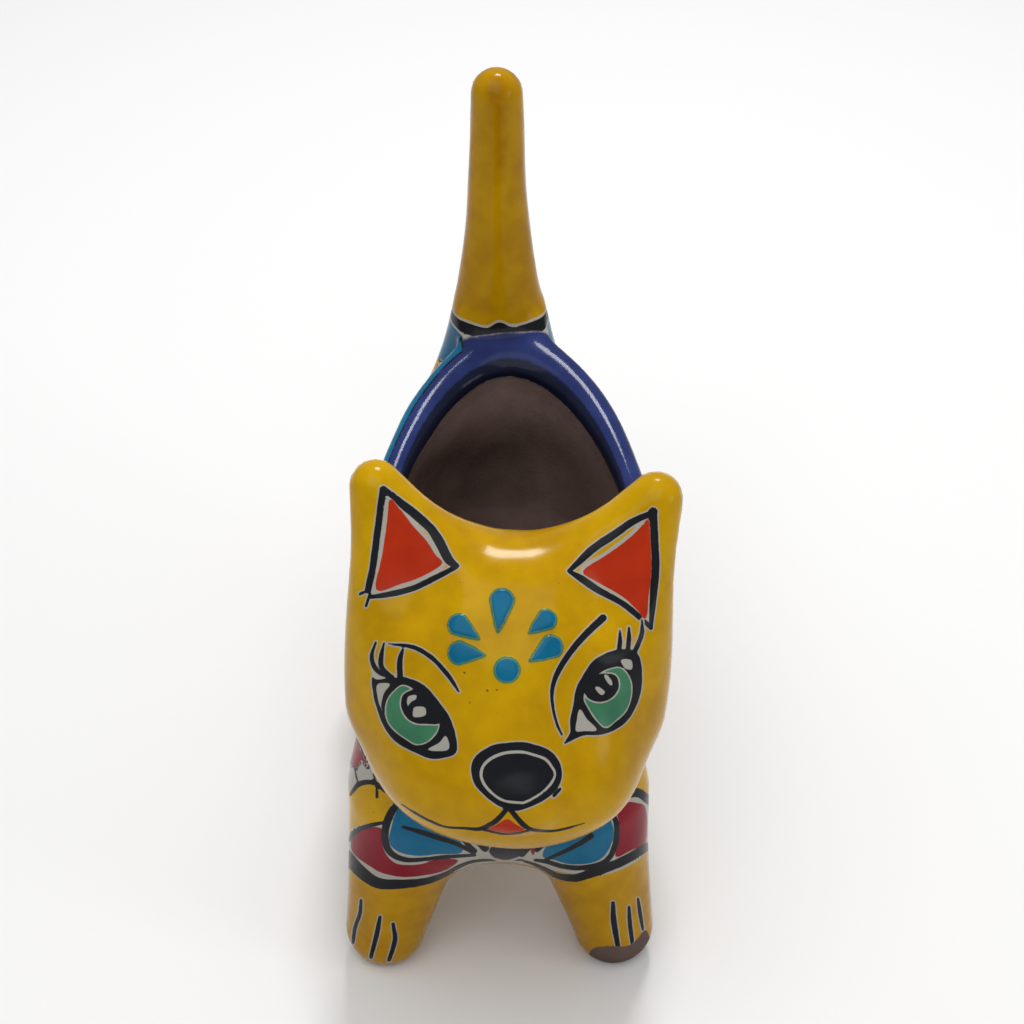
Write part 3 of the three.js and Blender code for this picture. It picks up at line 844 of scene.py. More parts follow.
@dataclass(frozen=True)
class MuzzlePaint:
    """The black nose with its white ring, and the mouth with its red middle."""

    nose: Patch = Patch(
        ((522, 742), (497, 744), (485, 749), (475, 757), (471, 768), (474, 783), (483, 794),
         (497, 805), (514, 811), (530, 807), (546, 799), (557, 789), (562, 776), (559, 761),
         (549, 750), (536, 745)))
    ring: tuple[Stroke, ...] = (
        Stroke(((523, 803), (505, 801), (493, 794), (484, 784), (481, 774), (484, 765), (492, 758),
                (505, 753), (522, 752), (534, 755), (545, 759), (552, 767), (555, 774), (552, 782),
                (544, 791), (532, 799), (523, 803)),
               (2.2, 2.4, 2.6, 2.8, 2.8, 2.8, 3, 3, 2.8, 2.6, 2.6, 2.6, 2.4, 2.4, 2.2, 2.2, 2.2)),)
    tick: Stroke = Stroke(((560, 789), (554, 796)), 3)
    red: Patch = Patch(((507, 819), (496, 825), (486, 829), (495, 831), (505, 833), (515, 832),
                        (525, 830), (517, 825)))
    lines: tuple[Stroke, ...] = (
        Stroke(((507, 809), (497, 820), (489, 825), (479, 829), (462, 828), (446, 827), (430, 821),
                (415, 813), (401, 804)), (5, 5.5, 5, 4, 2.6, 2.4, 2.6, 2.4, 1)),
        Stroke(((509, 808), (518, 819), (525, 826), (534, 830), (552, 831), (568, 828), (585, 823)),
               (5, 5.5, 5, 3.6, 2.6, 2.4, 1)),
        Stroke(((481, 829), (493, 832), (505, 834), (518, 833), (531, 830)), 2.4))

    def apply(self, canvas: Canvas) -> None:
        """Paints the nose and the mouth."""
        mask = canvas.site.on_face
        canvas.ink((self.nose, self.tick), mask)
        canvas.draw(Glaze.WHITE, self.ring, mask)
        canvas.draw(Glaze.RED, (self.red,), mask)
        canvas.draw(Glaze.INK, self.lines, mask)


@dataclass(frozen=True)
class ForeheadPaint:
    """Raised blue drops on the forehead, with thin green edges, and a few specks."""

    drops: tuple[Drop, ...] = (
        Drop((502, 601), 11.6, (498, 632)),
        Drop((459, 625), 10.4, (479, 639)),
        Drop((460, 653), 11.2, (485, 655)),
        Drop((507, 670), 12.2, (507, 670)),
        Drop((546, 620), 9.9, (529, 633)),
        Drop((551, 647), 11.2, (530, 661)))
    specks: tuple[Stroke, ...] = (
        Stroke(((464, 672), (465, 673)), 1.7), Stroke(((487, 690), (488, 691)), 1.8),
        Stroke(((496, 690), (497, 690)), 1.6), Stroke(((470, 702), (470, 703)), 1.8))
    edge: float = 0.5
    height: float = 0.85
    slope: float = 1.6

    def apply(self, canvas: Canvas) -> None:
        """Paints the drops and notes how high they stand."""
        for drop in self.drops:
            away = np.maximum(canvas.site.in_photo(drop), canvas.site.on_face)
            canvas.paint(Glaze.GREEN, away - self.edge)
            canvas.paint(Glaze.SKY, away + self.edge / 3)
            rise = np.clip(-(away - self.edge) / self.slope, 0, 1)
            canvas.raised = np.maximum(canvas.raised, self.height * rise * (2 - rise))
        canvas.draw(Glaze.INK, self.specks, canvas.site.on_face)


@dataclass(frozen=True)
class BowPaint:
    """The neck bow: blue lobes, red tails, black brush lines and a dark knot."""

    wrap: float = 4
    end_line: float = 1.4
    knot_ring: float = 0.7
    slip: tuple[Patch, ...] = (
        Patch(((350, 834), (358, 826), (386, 820), (395, 803), (440, 830), (480, 842), (530, 842),
               (575, 828), (608, 806), (628, 792), (646, 796), (646, 852), (600, 876), (560, 872),
               (500, 862), (440, 876), (400, 884), (370, 878), (350, 864))),)
    red: tuple[Patch, ...] = (
        Patch(((359, 829), (381, 828), (382, 841), (386, 854), (398, 864), (421, 864), (437, 859),
               (458, 860), (446, 870), (427, 875), (403, 877), (382, 873), (368, 865), (357, 857),
               (351, 849), (352, 838))),
        Patch(((615, 806), (627, 802), (637, 803), (646, 809), (646, 842), (632, 850), (616, 857),
               (617, 845), (620, 832), (618, 818))),
        Patch(((471, 839), (481, 841), (478, 846))),
        Patch(((529, 842), (537, 842), (533, 856))))
    blue: tuple[Patch, ...] = (
        Patch(((401, 807), (395, 815), (391, 828), (389, 841), (394, 849), (405, 854), (421, 856),
               (439, 854), (458, 854), (463, 849), (459, 840), (439, 832), (421, 821))),
        Patch(((605, 813), (611, 821), (614, 832), (611, 845), (605, 855), (597, 861), (585, 864),
               (568, 864), (554, 860), (543, 857), (545, 848), (552, 841), (568, 834), (585, 827),
               (597, 819))))
    lines: tuple[Stroke, ...] = (
        Stroke(((350, 840), (353, 834), (360, 829), (372, 825), (387, 822)), (4, 5, 5, 4.5, 3)),
        Stroke(((347, 856), (360, 871), (378, 883), (403, 884), (427, 881), (446, 874), (458, 867),
                (475, 861), (500, 860), (522, 860)), (12, 12, 11, 9, 7, 5, 4, 3, 2.4, 2)),
        Stroke(((397, 804), (391, 813), (386, 826), (385, 839), (388, 849), (395, 856), (408, 860),
                (427, 859), (445, 857), (475, 855)), (6, 8, 8, 7.5, 7, 6, 5, 4, 4, 3)),
        Stroke(((403, 827), (421, 832), (439, 838), (457, 844), (474, 853)), (3, 5, 5, 4.5, 4)),
        Stroke(((461, 838), (475, 851)), 4.6),
        Stroke(((399, 804), (421, 819), (439, 830), (461, 839)), (3, 3, 3, 3)),
        Stroke(((608, 810), (615, 819), (617, 831), (615, 845), (609, 858), (598, 865), (578, 868),
                (561, 866), (548, 862), (535, 860)), (5, 5.5, 6, 6, 5.5, 5.5, 5, 5, 4.5, 3)),
        Stroke(((607, 809), (590, 822), (568, 833), (548, 842), (537, 850)), (3.5, 3.5, 4, 4.5, 5)),
        Stroke(((591, 836), (579, 844), (561, 853), (545, 860)), (6, 5, 4, 3)),
        Stroke(((617, 801), (628, 794), (639, 793), (648, 800)), (8, 9, 9, 8)),
        Stroke(((648, 846), (627, 859), (609, 867), (592, 873), (575, 878), (558, 876), (546, 870),
                (536, 865), (524, 861)), (8, 9, 9, 9, 8, 6, 5, 3.4, 2.4)))
    knot: Patch = Patch(((496, 844), (489, 850), (493, 857), (505, 860), (518, 857), (522, 850),
                         (515, 844), (505, 842)))
    blobs: tuple[Stroke, ...] = (
        Stroke(((478, 842), (485, 848)), (6, 8)), Stroke(((528, 848), (522, 853)), (6, 8)))

    def apply(self, canvas: Canvas) -> None:
        """Paints the bow on the chest, under the chin, as far as the outer line of the legs."""
        site = canvas.site
        end = site.y - site.form.leg_rows[0] - self.wrap
        around = site.in_photo(self.slip[0])
        canvas.paint(Glaze.INK, np.maximum(around, end - self.end_line), site.under_chin)
        mask = np.maximum(site.under_chin, end)
        canvas.draw(Glaze.WHITE, self.slip, mask)
        canvas.draw(Glaze.CRIMSON, self.red, mask)
        canvas.draw(Glaze.SKY, self.blue, mask)
        canvas.draw(Glaze.INK, self.lines, mask)
        knot = site.in_photo(self.knot)
        canvas.paint(Glaze.WHITE, knot - self.knot_ring, mask)
        canvas.paint(Glaze.NAVY, knot, mask)
        canvas.draw(Glaze.INK, self.blobs, mask)


@dataclass(frozen=True)
class PawPaint:
    """Toe lines, soles and the patch of bare clay on one toe."""

    toes: tuple[Stroke, ...] = (
        Stroke(((361, 900), (360, 913), (355, 928), (353, 943)), (3, 4, 4, 3)),
        Stroke(((380, 917), (377, 933), (371, 957)), (3.5, 5, 4)),
        Stroke(((393, 924), (395, 940), (389, 960)), (3.5, 5, 4)),
        Stroke(((613, 903), (614, 923), (619, 952)), (4, 6, 4.5)),
        Stroke(((629, 907), (630, 925), (633, 947)), (3, 4.5, 4)),
        Stroke(((638, 899), (640, 913), (643, 930)), (3, 4, 3)))
    bare_toe: Patch = Patch(((592, 949), (609, 946), (627, 946), (637, 939), (646, 930),
                             (652, 950), (640, 966), (610, 972), (590, 962)))
    rear_toe_gap: float = 7
    rear_toe_top: float = 17
    rear_toe_width: float = 1.4
    rear_toe_foot: float = 2.5
    rear_toe_back: float = 4
    front_top: float = 45
    sole_edge: float = 1.1

    def apply(self, canvas: Canvas) -> None:
        """Paints the front toes as in the photo and the rear ones alike, and bares the soles."""
        site, form = canvas.site, canvas.site.form
        front = np.maximum(site.y + form.half_length * 0.5, site.z - self.front_top)
        canvas.ink(self.toes, front)
        for side in (-1, 1):
            across = site.x - form.leg_lean - side * form.paw_x
            behind = np.maximum(
                form.leg_rows[1] + self.rear_toe_back - site.y, site.z - self.rear_toe_top)
            for place in (-self.rear_toe_gap, 0, self.rear_toe_gap):
                line = np.abs(across - place) - self.rear_toe_width / 2
                canvas.paint(Glaze.INK, line, np.maximum(behind, self.rear_toe_foot - site.z))
        canvas.draw(Glaze.CLAY, (self.bare_toe,), front)
        canvas.paint(Glaze.CLAY, site.z - self.sole_edge)


@dataclass(frozen=True)
class Flower:
    """A traditional flower: round petals about an eye, with leaves beside it."""

    centre: Pixel
    radius: float
    petals: int
    glaze: Glaze
    leaves: tuple[float, ...] = (205, 335)
    line: float = 1.1
    leaf_tip: float = 1.75
    leaf_bend: float = 1.3
    leaf_turn: float = 0.2
    leaf_widths: Point = (0.3, 0.5, 0.6)
    petal_valley: float = 0.72
    spoke_end: float = 0.78
    eye_line: float = 0.34
    eye: float = 0.26

    def along_leaf(self, turn: float, share: float) -> Pixel:
        """A point on a leaf, at an angle from the centre and a share of the radius."""
        x, y = self.centre
        reach = self.radius * share
        return (x + reach * math.cos(turn), y + reach * math.sin(turn))

    def apply(self, canvas: Canvas, q: Array, mask: Array) -> None:
        """Paints the flower on a chart of the flank."""
        away = q - np.array(self.centre)
        angle, reach = np.arctan2(away[:, 1], away[:, 0]), np.linalg.norm(away, axis=-1)
        for degrees in self.leaves:
            turn = math.radians(degrees)
            bend = self.along_leaf(turn + self.leaf_turn, self.leaf_bend)
            tip = self.along_leaf(turn, self.leaf_tip)
            root_width, bend_width, tip_width = self.leaf_widths
            widths = (self.radius * root_width, self.radius * bend_width, tip_width)
            leaf = Stroke((self.centre, bend, tip), widths).distance(q)
            canvas.paint(Glaze.INK, leaf - self.line * 0.6, mask)
            canvas.paint(Glaze.GREEN, leaf, mask)
        lobe = np.abs(np.cos(angle * self.petals / 2))
        rise = (1 - self.petal_valley) * np.sqrt(lobe)
        edge = reach - self.radius * (self.petal_valley + rise)
        canvas.paint(Glaze.INK, edge - self.line, mask)
        canvas.paint(Glaze.WHITE, edge, mask)
        canvas.paint(self.glaze, edge + self.line * 0.8, mask)
        valley = np.abs(np.sin(angle * self.petals / 2 + math.pi / 2)) * reach * 2 / self.petals
        spoke = np.maximum(valley - self.line * 0.45, reach - self.radius * self.spoke_end)
        canvas.paint(Glaze.INK, spoke, mask)
        canvas.paint(Glaze.INK, reach - self.radius * self.eye_line, mask)
        canvas.paint(None, reach - self.radius * self.eye, mask)


@dataclass(frozen=True)
class BodyPaint:
    """The body's white ground with flowers, its border to the yellow legs, and the tail's band."""

    border: Patch = Patch(
        ((-64, 62), (-46, 66), (-34, 55), (-10, 51), (14, 51), (34, 55), (46, 70), (62, 80),
         (76, 76), (92, 70), (100, 90), (100, 150), (0, 170), (-58, 150), (-66, 108), (-62, 84)))
    border_width: float = 1.5
    scallop: float = 1.4
    scallop_length: float = 9
    flowers: tuple[Flower, ...] = (
        Flower((-18, 86), 17, 6, Glaze.CRIMSON, (200, 345, 95)),
        Flower((25, 85), 15.5, 5, Glaze.SKY, (20, 160, 250)),
        Flower((67, 100), 11, 5, Glaze.CRIMSON, (150, 330)),
        Flower((-51, 92), 9.5, 5, Glaze.SKY, (100, 280)))
    dots: tuple[Point, ...] = (
        (3, 104, 2.6), (3, 66, 2.4), (-40, 74, 2.0), (-38, 106, 2.2), (46, 104, 2.2), (47, 82, 2.0),
        (83, 88, 2.2), (84, 110, 2.2))
    band_height: float = 144.5
    band_width: float = 3.8
    band_wave: float = 1.0
    band_waves: int = 5
    band_halo: float = 0.9
    band_front: float = 40
    inner_line: float = 2.6
    inner_line_half: float = 0.35
    field_inset: float = 2.0
    below_band: float = 3
    ribbon_start: float = -18
    ribbon_length: float = 70
    ribbon_drop: float = 15
    ribbon_wave: float = 0.9
    ribbon_line: float = 0.9

    def apply(self, canvas: Canvas) -> None:
        """Paints both flanks, the rump and the foot of the tail."""
        site = canvas.site
        chart = np.stack([site.y, site.z], -1)
        wave = np.sin(site.y * 2 * math.pi / self.scallop_length) * self.scallop / 2
        ground = self.border.distance(chart, 60) + wave
        ground = np.maximum(ground, site.z - self.band_height + self.below_band)
        mask = -site.on_head
        canvas.paint(Glaze.INK, ground - self.border_width, mask)
        canvas.paint(Glaze.WHITE, ground, mask)
        inner = np.abs(ground + self.inner_line) - self.inner_line_half
        canvas.paint(Glaze.COBALT, inner, mask)
        field_mask = np.maximum(ground + self.field_inset, mask)
        for flower in self.flowers:
            flower.apply(canvas, chart, field_mask)
        for y, z, radius in self.dots:
            spot = np.linalg.norm(chart - (y, z), axis=-1) - radius
            canvas.paint(Glaze.COBALT, spot, field_mask)
        self.paint_ribbon(canvas)
        self.paint_band(canvas)

    def paint_ribbon(self, canvas: Canvas) -> None:
        """The sky-blue band that runs round the outside of the lip."""
        site = canvas.site
        share = np.sqrt(np.clip((site.y - self.ribbon_start) / self.ribbon_length, 0, 1))
        wave = self.ribbon_wave * np.sin(site.y * 2 * math.pi / self.scallop_length)
        drop = self.ribbon_drop * share + wave
        ribbon = np.maximum(-site.over_rim - drop, self.ribbon_start - site.y)
        ribbon = np.maximum(ribbon, 1 - site.rim_out)
        mask = np.maximum(-site.on_head, site.z - self.band_height)
        canvas.paint(Glaze.INK, ribbon - self.ribbon_line, mask)
        canvas.paint(Glaze.SKY, ribbon, mask)

    def paint_band(self, canvas: Canvas) -> None:
        """The wavy black band round the foot of the tail, between thin white lines."""
        site, form = canvas.site, canvas.site.form
        turn = np.arctan2(site.y - form.half_length, site.x - form.tail_offset)
        wavy = self.band_wave * np.sin(turn * self.band_waves)
        height = np.abs(site.z - self.band_height - wavy * 0.6) - self.band_width / 2 - wavy * 0.35
        mask = np.maximum(self.band_front - site.y, 0.5 - site.on_lip)
        canvas.paint(None, self.band_height - site.z, mask)
        canvas.paint(Glaze.WHITE, height - self.band_halo, mask)
        canvas.paint(Glaze.INK, height, mask)


@dataclass(frozen=True)
class ShoulderPaint:
    """What the photo shows beside the head: a petal, a spot and the shoulder's arc."""

    ground: Patch = Patch(((330, 690), (372, 700), (384, 740), (384, 782), (372, 783), (352, 788),
                           (330, 792)))
    petal: Patch = Patch(((340, 722), (352, 724), (358, 744), (368, 767), (361, 760), (356, 768),
                          (346, 760), (338, 764)))
    spots: tuple[Stroke, ...] = (
        Stroke(((344, 714), (352, 716)), 8), Stroke(((640, 767), (646, 769)), 7))
    lines: tuple[Stroke, ...] = (
        Stroke(((354, 766), (358, 784)), 2), Stroke(((373, 773), (377, 788)), 2),
        Stroke(((350, 795), (358, 785), (368, 782), (377, 784), (385, 791)), (3, 5, 5, 5, 4)),
        Stroke(((377, 785), (377, 797)), 3))
    photo_right_reach: float = 12
    photo_left_start: float = 10
    petal_line: float = 0.7

    def apply(self, canvas: Canvas) -> None:
        """Paints the marks on the shoulders."""
        site = canvas.site
        mask = np.maximum(site.under_chin, -site.on_head)
        behind = np.where(site.x > 0, site.y + site.form.half_length - self.photo_right_reach, -1.0)
        mask = np.maximum(mask, behind)
        left = np.maximum(mask, site.x + self.photo_left_start)
        canvas.draw(Glaze.WHITE, (self.ground,), left)
        petal = site.in_photo(self.petal)
        canvas.paint(Glaze.INK, petal - self.petal_line, left)
        canvas.paint(Glaze.CRIMSON, petal, left)
        canvas.draw(Glaze.INK, (*self.lines, *self.spots), mask)


@dataclass(frozen=True)
class RimPaint:
    """The cobalt lip, a dark blue band of painted shade just inside it, and the bare clay of the
    hollow.
    """

    lip_reach: float = 1.3
    # How far below the rim the band of painted shade reaches.
    shade_band_depth: float = 2.4
    inner_edge: float = 2.9
    inner_reach: float = 8
    ribbon_edge: float = 2.6
    ribbon_side: float = 18
    ribbon_front: float = 8
    ribbon_line: float = 0.7

    def apply(self, canvas: Canvas) -> None:
        """Paints the lip, a band of painted shade just inside it, and leaves the hollow bare."""
        site, form = canvas.site, canvas.site.form
        canvas.paint(Glaze.CLAY, site.indoors, site.over_rim - form.lip_radius * 0.5)
        lip = np.maximum(site.on_lip - self.lip_reach, -site.over_rim - form.lip_radius * 0.75)
        canvas.paint(Glaze.COBALT, lip)
        # Painted shade: a dark blue band on the lip's inner face, where it lies in shadow; bare clay
        # below it.
        inside = np.maximum(site.rim_out + self.inner_edge, site.on_lip - self.inner_reach)
        below_shade_band = site.over_rim + self.shade_band_depth
        canvas.paint(Glaze.NAVY, np.maximum(inside, -below_shade_band))
        canvas.paint(Glaze.CLAY, np.maximum(inside, below_shade_band), site.indoors)
        outside = np.maximum(self.ribbon_edge - site.rim_out, lip)
        right_half = site.x - form.rim_shift + self.ribbon_side
        outside = np.maximum(outside, np.maximum(right_half, self.ribbon_front - site.y))
        canvas.paint(Glaze.INK, outside - self.ribbon_line)
        canvas.paint(Glaze.SKY, outside)


@dataclass(frozen=True)
class Painter:
    """Lays all the paint on a set of points."""

    form: CatForm
    view: PhotoView
    shift: Array
    layers: tuple = (
        BodyPaint(), ShoulderPaint(), EarPaint(), LEFT_EYE, RIGHT_EYE, MuzzlePaint(),
        ForeheadPaint(), BowPaint(), PawPaint(), RimPaint())

    def paint(self, points: Array) -> Canvas:
        """The finished paint at the given points."""
        canvas = Canvas(Site(self.form, self.view, points, self.shift))
        for layer in self.layers:
            layer.apply(canvas)
        return canvas


@dataclass(frozen=True)
class Lamp:
    """A square soft light, in metres and watts."""

    name: str
    place: Point
    aim: Point
    size: float
    power: float

    def make(self) -> None:
        """Hangs the lamp and turns it to its aim."""
        lamp = bpy.data.lights.new(self.name, "AREA")
        lamp.shape = "SQUARE"
        lamp.size = self.size
        lamp.energy = self.power
        holder = bpy.data.objects.new(self.name, lamp)
        holder.location = self.place
        direction = Vector(self.aim) - Vector(self.place)
        holder.rotation_euler = direction.to_track_quat("-Z", "Y").to_euler()
        bpy.context.collection.objects.link(holder)


@dataclass
class Studio:
    """Pale floor and soft light."""

    floor_size: float = 6.0
    floor_colour: Point = (0.82, 0.82, 0.82)
    floor_roughness: float = 0.9
    world_strength: float = 0.38
    lamps: tuple[Lamp, ...] = (
        Lamp("overhead", (0.1, 0.72, 1.35), (0, -0.02, 0.15), 0.3, 11),
        Lamp("sky", (-0.3, -1.2, 2.4), (0, -0.05, 0.1), 2.6, 38),
        Lamp("right_front", (1.3, -0.6, 0.6), (0, -0.05, 0.1), 0.5, 2.5))

    def make_floor(self) -> bpy.types.Object:
        """The floor that the planter stands on."""
        half = self.floor_size / 2
        mesh = bpy.data.meshes.new("floor")
        mesh.from_pydata([(-half, -half, 0), (half, -half, 0), (half, half, 0), (-half, half, 0)],
                         [], [(0, 1, 2, 3)])
        floor = bpy.data.objects.new("floor", mesh)
        bpy.context.collection.objects.link(floor)
        material = bpy.data.materials.new("floor")
        material.use_nodes = True
        shader = material.node_tree.nodes["Principled BSDF"]
        shader.inputs["Base Color"].default_value = (*self.floor_colour, 1)
        shader.inputs["Roughness"].default_value = self.floor_roughness
        mesh.materials.append(material)
        return floor

    def build(self) -> None:
        """Makes the floor, the lights and the pale surroundings."""
        self.make_floor()
        for lamp in self.lamps:
            lamp.make()
        world = bpy.data.worlds.new("studio")
        world.use_nodes = True
        background = world.node_tree.nodes["Background"]
        background.inputs["Color"].default_value = (1, 1, 1, 1)
        background.inputs["Strength"].default_value = self.world_strength
        bpy.context.scene.world = world


@dataclass
class Refiner:
    """Cuts a mesh finer where its edges are longer than wanted, and settles the new points."""

    form: CatForm
    coarse: float
    fine: float
    fine_face: float
    reach: float = 2.1

    def wanted(self, middles: Array, nearest: Array) -> Array:
        """The longest edge allowed at each place, from how near the paint's edges are."""
        on_face = middles[:, 1] < -self.form.half_length
        finest = np.where(on_face, self.fine_face, self.fine)
        return np.clip(nearest * self.reach, finest, self.coarse)

    def cut(self, points: Array, faces: Array, nearest: Array) -> tuple[Array, Array]:
        """One round of cutting.

        Args:
            points: the mesh's points.
            faces: its triangles.
            nearest: distance from each point to the nearest edge of paint.

        Returns:
            The new points and triangles.
        """
        sides = np.sort(np.stack([faces, np.roll(faces, -1, 1)], -1).reshape(-1, 2), axis=1)
        edges, place = np.unique(sides, axis=0, return_inverse=True)
        place = place.reshape(-1, 3)
        a, b = points[edges[:, 0]], points[edges[:, 1]]
        length = np.linalg.norm(a - b, axis=1)
        close = np.minimum(nearest[edges[:, 0]], nearest[edges[:, 1]])
        marked = length > self.wanted((a + b) / 2, np.maximum(close - length * 0.3, 0)) * 1.35
        new_index = np.full(len(edges), -1)
        new_index[marked] = len(points) + np.arange(marked.sum())
        added = settle((a[marked] + b[marked]) / 2, self.form.whole, 2)
        return np.vstack([points, added]), self.split(faces, new_index[place])

    @staticmethod
    def split(faces: Array, middles: Array) -> Array:
        """Triangles cut by the new points on their sides, where there are any."""
        count = (middles >= 0).sum(1)
        result = [faces[count == 0]]
        for want in (1, 2):
            rows = count == want
            corner, middle = faces[rows], middles[rows]
            lone = (middle >= 0).argmax(1) if want == 1 else ((middle < 0).argmax(1) + 1) % 3
            order = (lone[:, None] + np.arange(3)) % 3
            corner = np.take_along_axis(corner, order, 1)
            middle = np.take_along_axis(middle, order, 1)
            (a, b, c), (ab, bc, _) = corner.T, middle.T
            if want == 1:
                result += [np.stack([a, ab, c], 1), np.stack([ab, b, c], 1)]
            else:
                result += [np.stack([ab, b, bc], 1), np.stack([a, ab, bc], 1),
                           np.stack([a, bc, c], 1)]
        (a, b, c), (ab, bc, ca) = faces[count == 3].T, middles[count == 3].T
        result += [np.stack(rows, 1) for rows in ((a, ab, ca), (ab, b, bc), (ca, bc, c), (ab, bc, ca))]
        return np.concatenate(result)


@dataclass(frozen=True)
class Finish:
    """How one glaze looks: its two tones, its gloss and how much its edge wavers."""

    light: tuple[float, float, float]
    deep: tuple[float, float, float]
    roughness: float
    edge: float = 0.12
    waver: float = 0.25


FINISHES = {
    None: Finish((0.560, 0.325, 0.001), (0.300, 0.135, 0.001), 0.12),
    Glaze.WHITE: Finish((0.400, 0.385, 0.340), (0.300, 0.285, 0.245), 0.16, 0.12, 0.16),
    Glaze.CLAY: Finish((0.165, 0.112, 0.097), (0.090, 0.060, 0.052), 0.85, 0.25, 0.7),
    Glaze.COBALT: Finish((0.026, 0.040, 0.150), (0.005, 0.008, 0.045), 0.10, 0.4, 0.6),
    Glaze.SKY: Finish((0.004, 0.145, 0.270), (0.002, 0.065, 0.145), 0.12),
    Glaze.GREEN: Finish((0.060, 0.215, 0.110), (0.020, 0.095, 0.060), 0.14),
    Glaze.RED: Finish((0.470, 0.032, 0.006), (0.260, 0.010, 0.004), 0.20),
    Glaze.CRIMSON: Finish((0.250, 0.004, 0.016), (0.135, 0.002, 0.009), 0.20),
    # Dark blue of the bow's knot, also used as painted shade inside the lip.
    Glaze.NAVY: Finish((0.010, 0.013, 0.034), (0.004, 0.005, 0.014), 0.12, 0.3, 0.6),
    Glaze.INK: Finish((0.013, 0.014, 0.017), (0.005, 0.005, 0.007), 0.22),
}


class Graph:
    """Builds the node graph of one material."""

    def __init__(self, name: str) -> None:
        self.material = bpy.data.materials.new(name)
        self.material.use_nodes = True
        self.tree = self.material.node_tree
        self.shader = self.tree.nodes["Principled BSDF"]

    def node(self, kind: str, settings: dict | None = None, **inputs) -> bpy.types.Node:
        """A node with its settings, and with its inputs set or linked by name or number."""
        made = self.tree.nodes.new(kind)
        for name, value in (settings or {}).items():
            setattr(made, name, value)
        for name, value in inputs.items():
            key = int(name[1:]) if name[0] == "i" and name[1:].isdigit() else name.replace("_", " ")
            self.feed(made.inputs[key], value)
        return made

    def feed(self, socket: bpy.types.NodeSocket, value: object) -> None:
        """Links an output to a socket, or sets the socket to a number or colour."""
        if isinstance(value, bpy.types.NodeSocket):
            self.tree.links.new(value, socket)
        elif isinstance(value, tuple) and len(value) == 3 and socket.type == "RGBA":
            socket.default_value = (*value, 1)
        else:
            socket.default_value = value

    def attribute(self, name: str) -> bpy.types.NodeSocket:
        """The value that the mesh carries under a name."""
        return self.node("ShaderNodeAttribute", {"attribute_name": name}).outputs["Fac"]

    def noise(self, scale: float, detail: float = 2) -> bpy.types.NodeSocket:
        """Noise in the object's own frame, with the given number of features to a metre."""
        place = self.node("ShaderNodeTexCoord").outputs["Object"]
        made = self.node("ShaderNodeTexNoise", Vector=place, Scale=scale, Detail=float(detail))
        return made.outputs["Fac"]

    def math(self, operation: str, a: object, b: object = 0.0, c: object = 0.0) -> bpy.types.NodeSocket:
        """The result of a sum on one, two or three values."""
        made = self.node("ShaderNodeMath", {"operation": operation}, i0=a, i1=b, i2=c)
        return made.outputs[0]

    def ramp(self, value: object, low: float, high: float, start: float = 0.0,
             end: float = 1.0) -> bpy.types.NodeSocket:
        """The value carried smoothly from one range to another, and held at its ends."""
        made = self.node("ShaderNodeMapRange", {"interpolation_type": "SMOOTHSTEP"}, Value=value,
                         From_Min=low, From_Max=high, To_Min=start, To_Max=end)
        return made.outputs["Result"]

    def mix(self, share: object, a: object, b: object) -> bpy.types.NodeSocket:
        """A colour between two colours."""
        made = self.node("ShaderNodeMix", {"data_type": "RGBA"})
        self.feed(made.inputs[0], share)
        self.feed(made.inputs[6], a)
        self.feed(made.inputs[7], b)
        return made.outputs[2]

    def mix_number(self, share: object, a: object, b: object) -> bpy.types.NodeSocket:
        """A number between two numbers."""
        made = self.node("ShaderNodeMix", {"data_type": "FLOAT"})
        self.feed(made.inputs[0], share)
        self.feed(made.inputs[2], a)
        self.feed(made.inputs[3], b)
        return made.outputs[0]


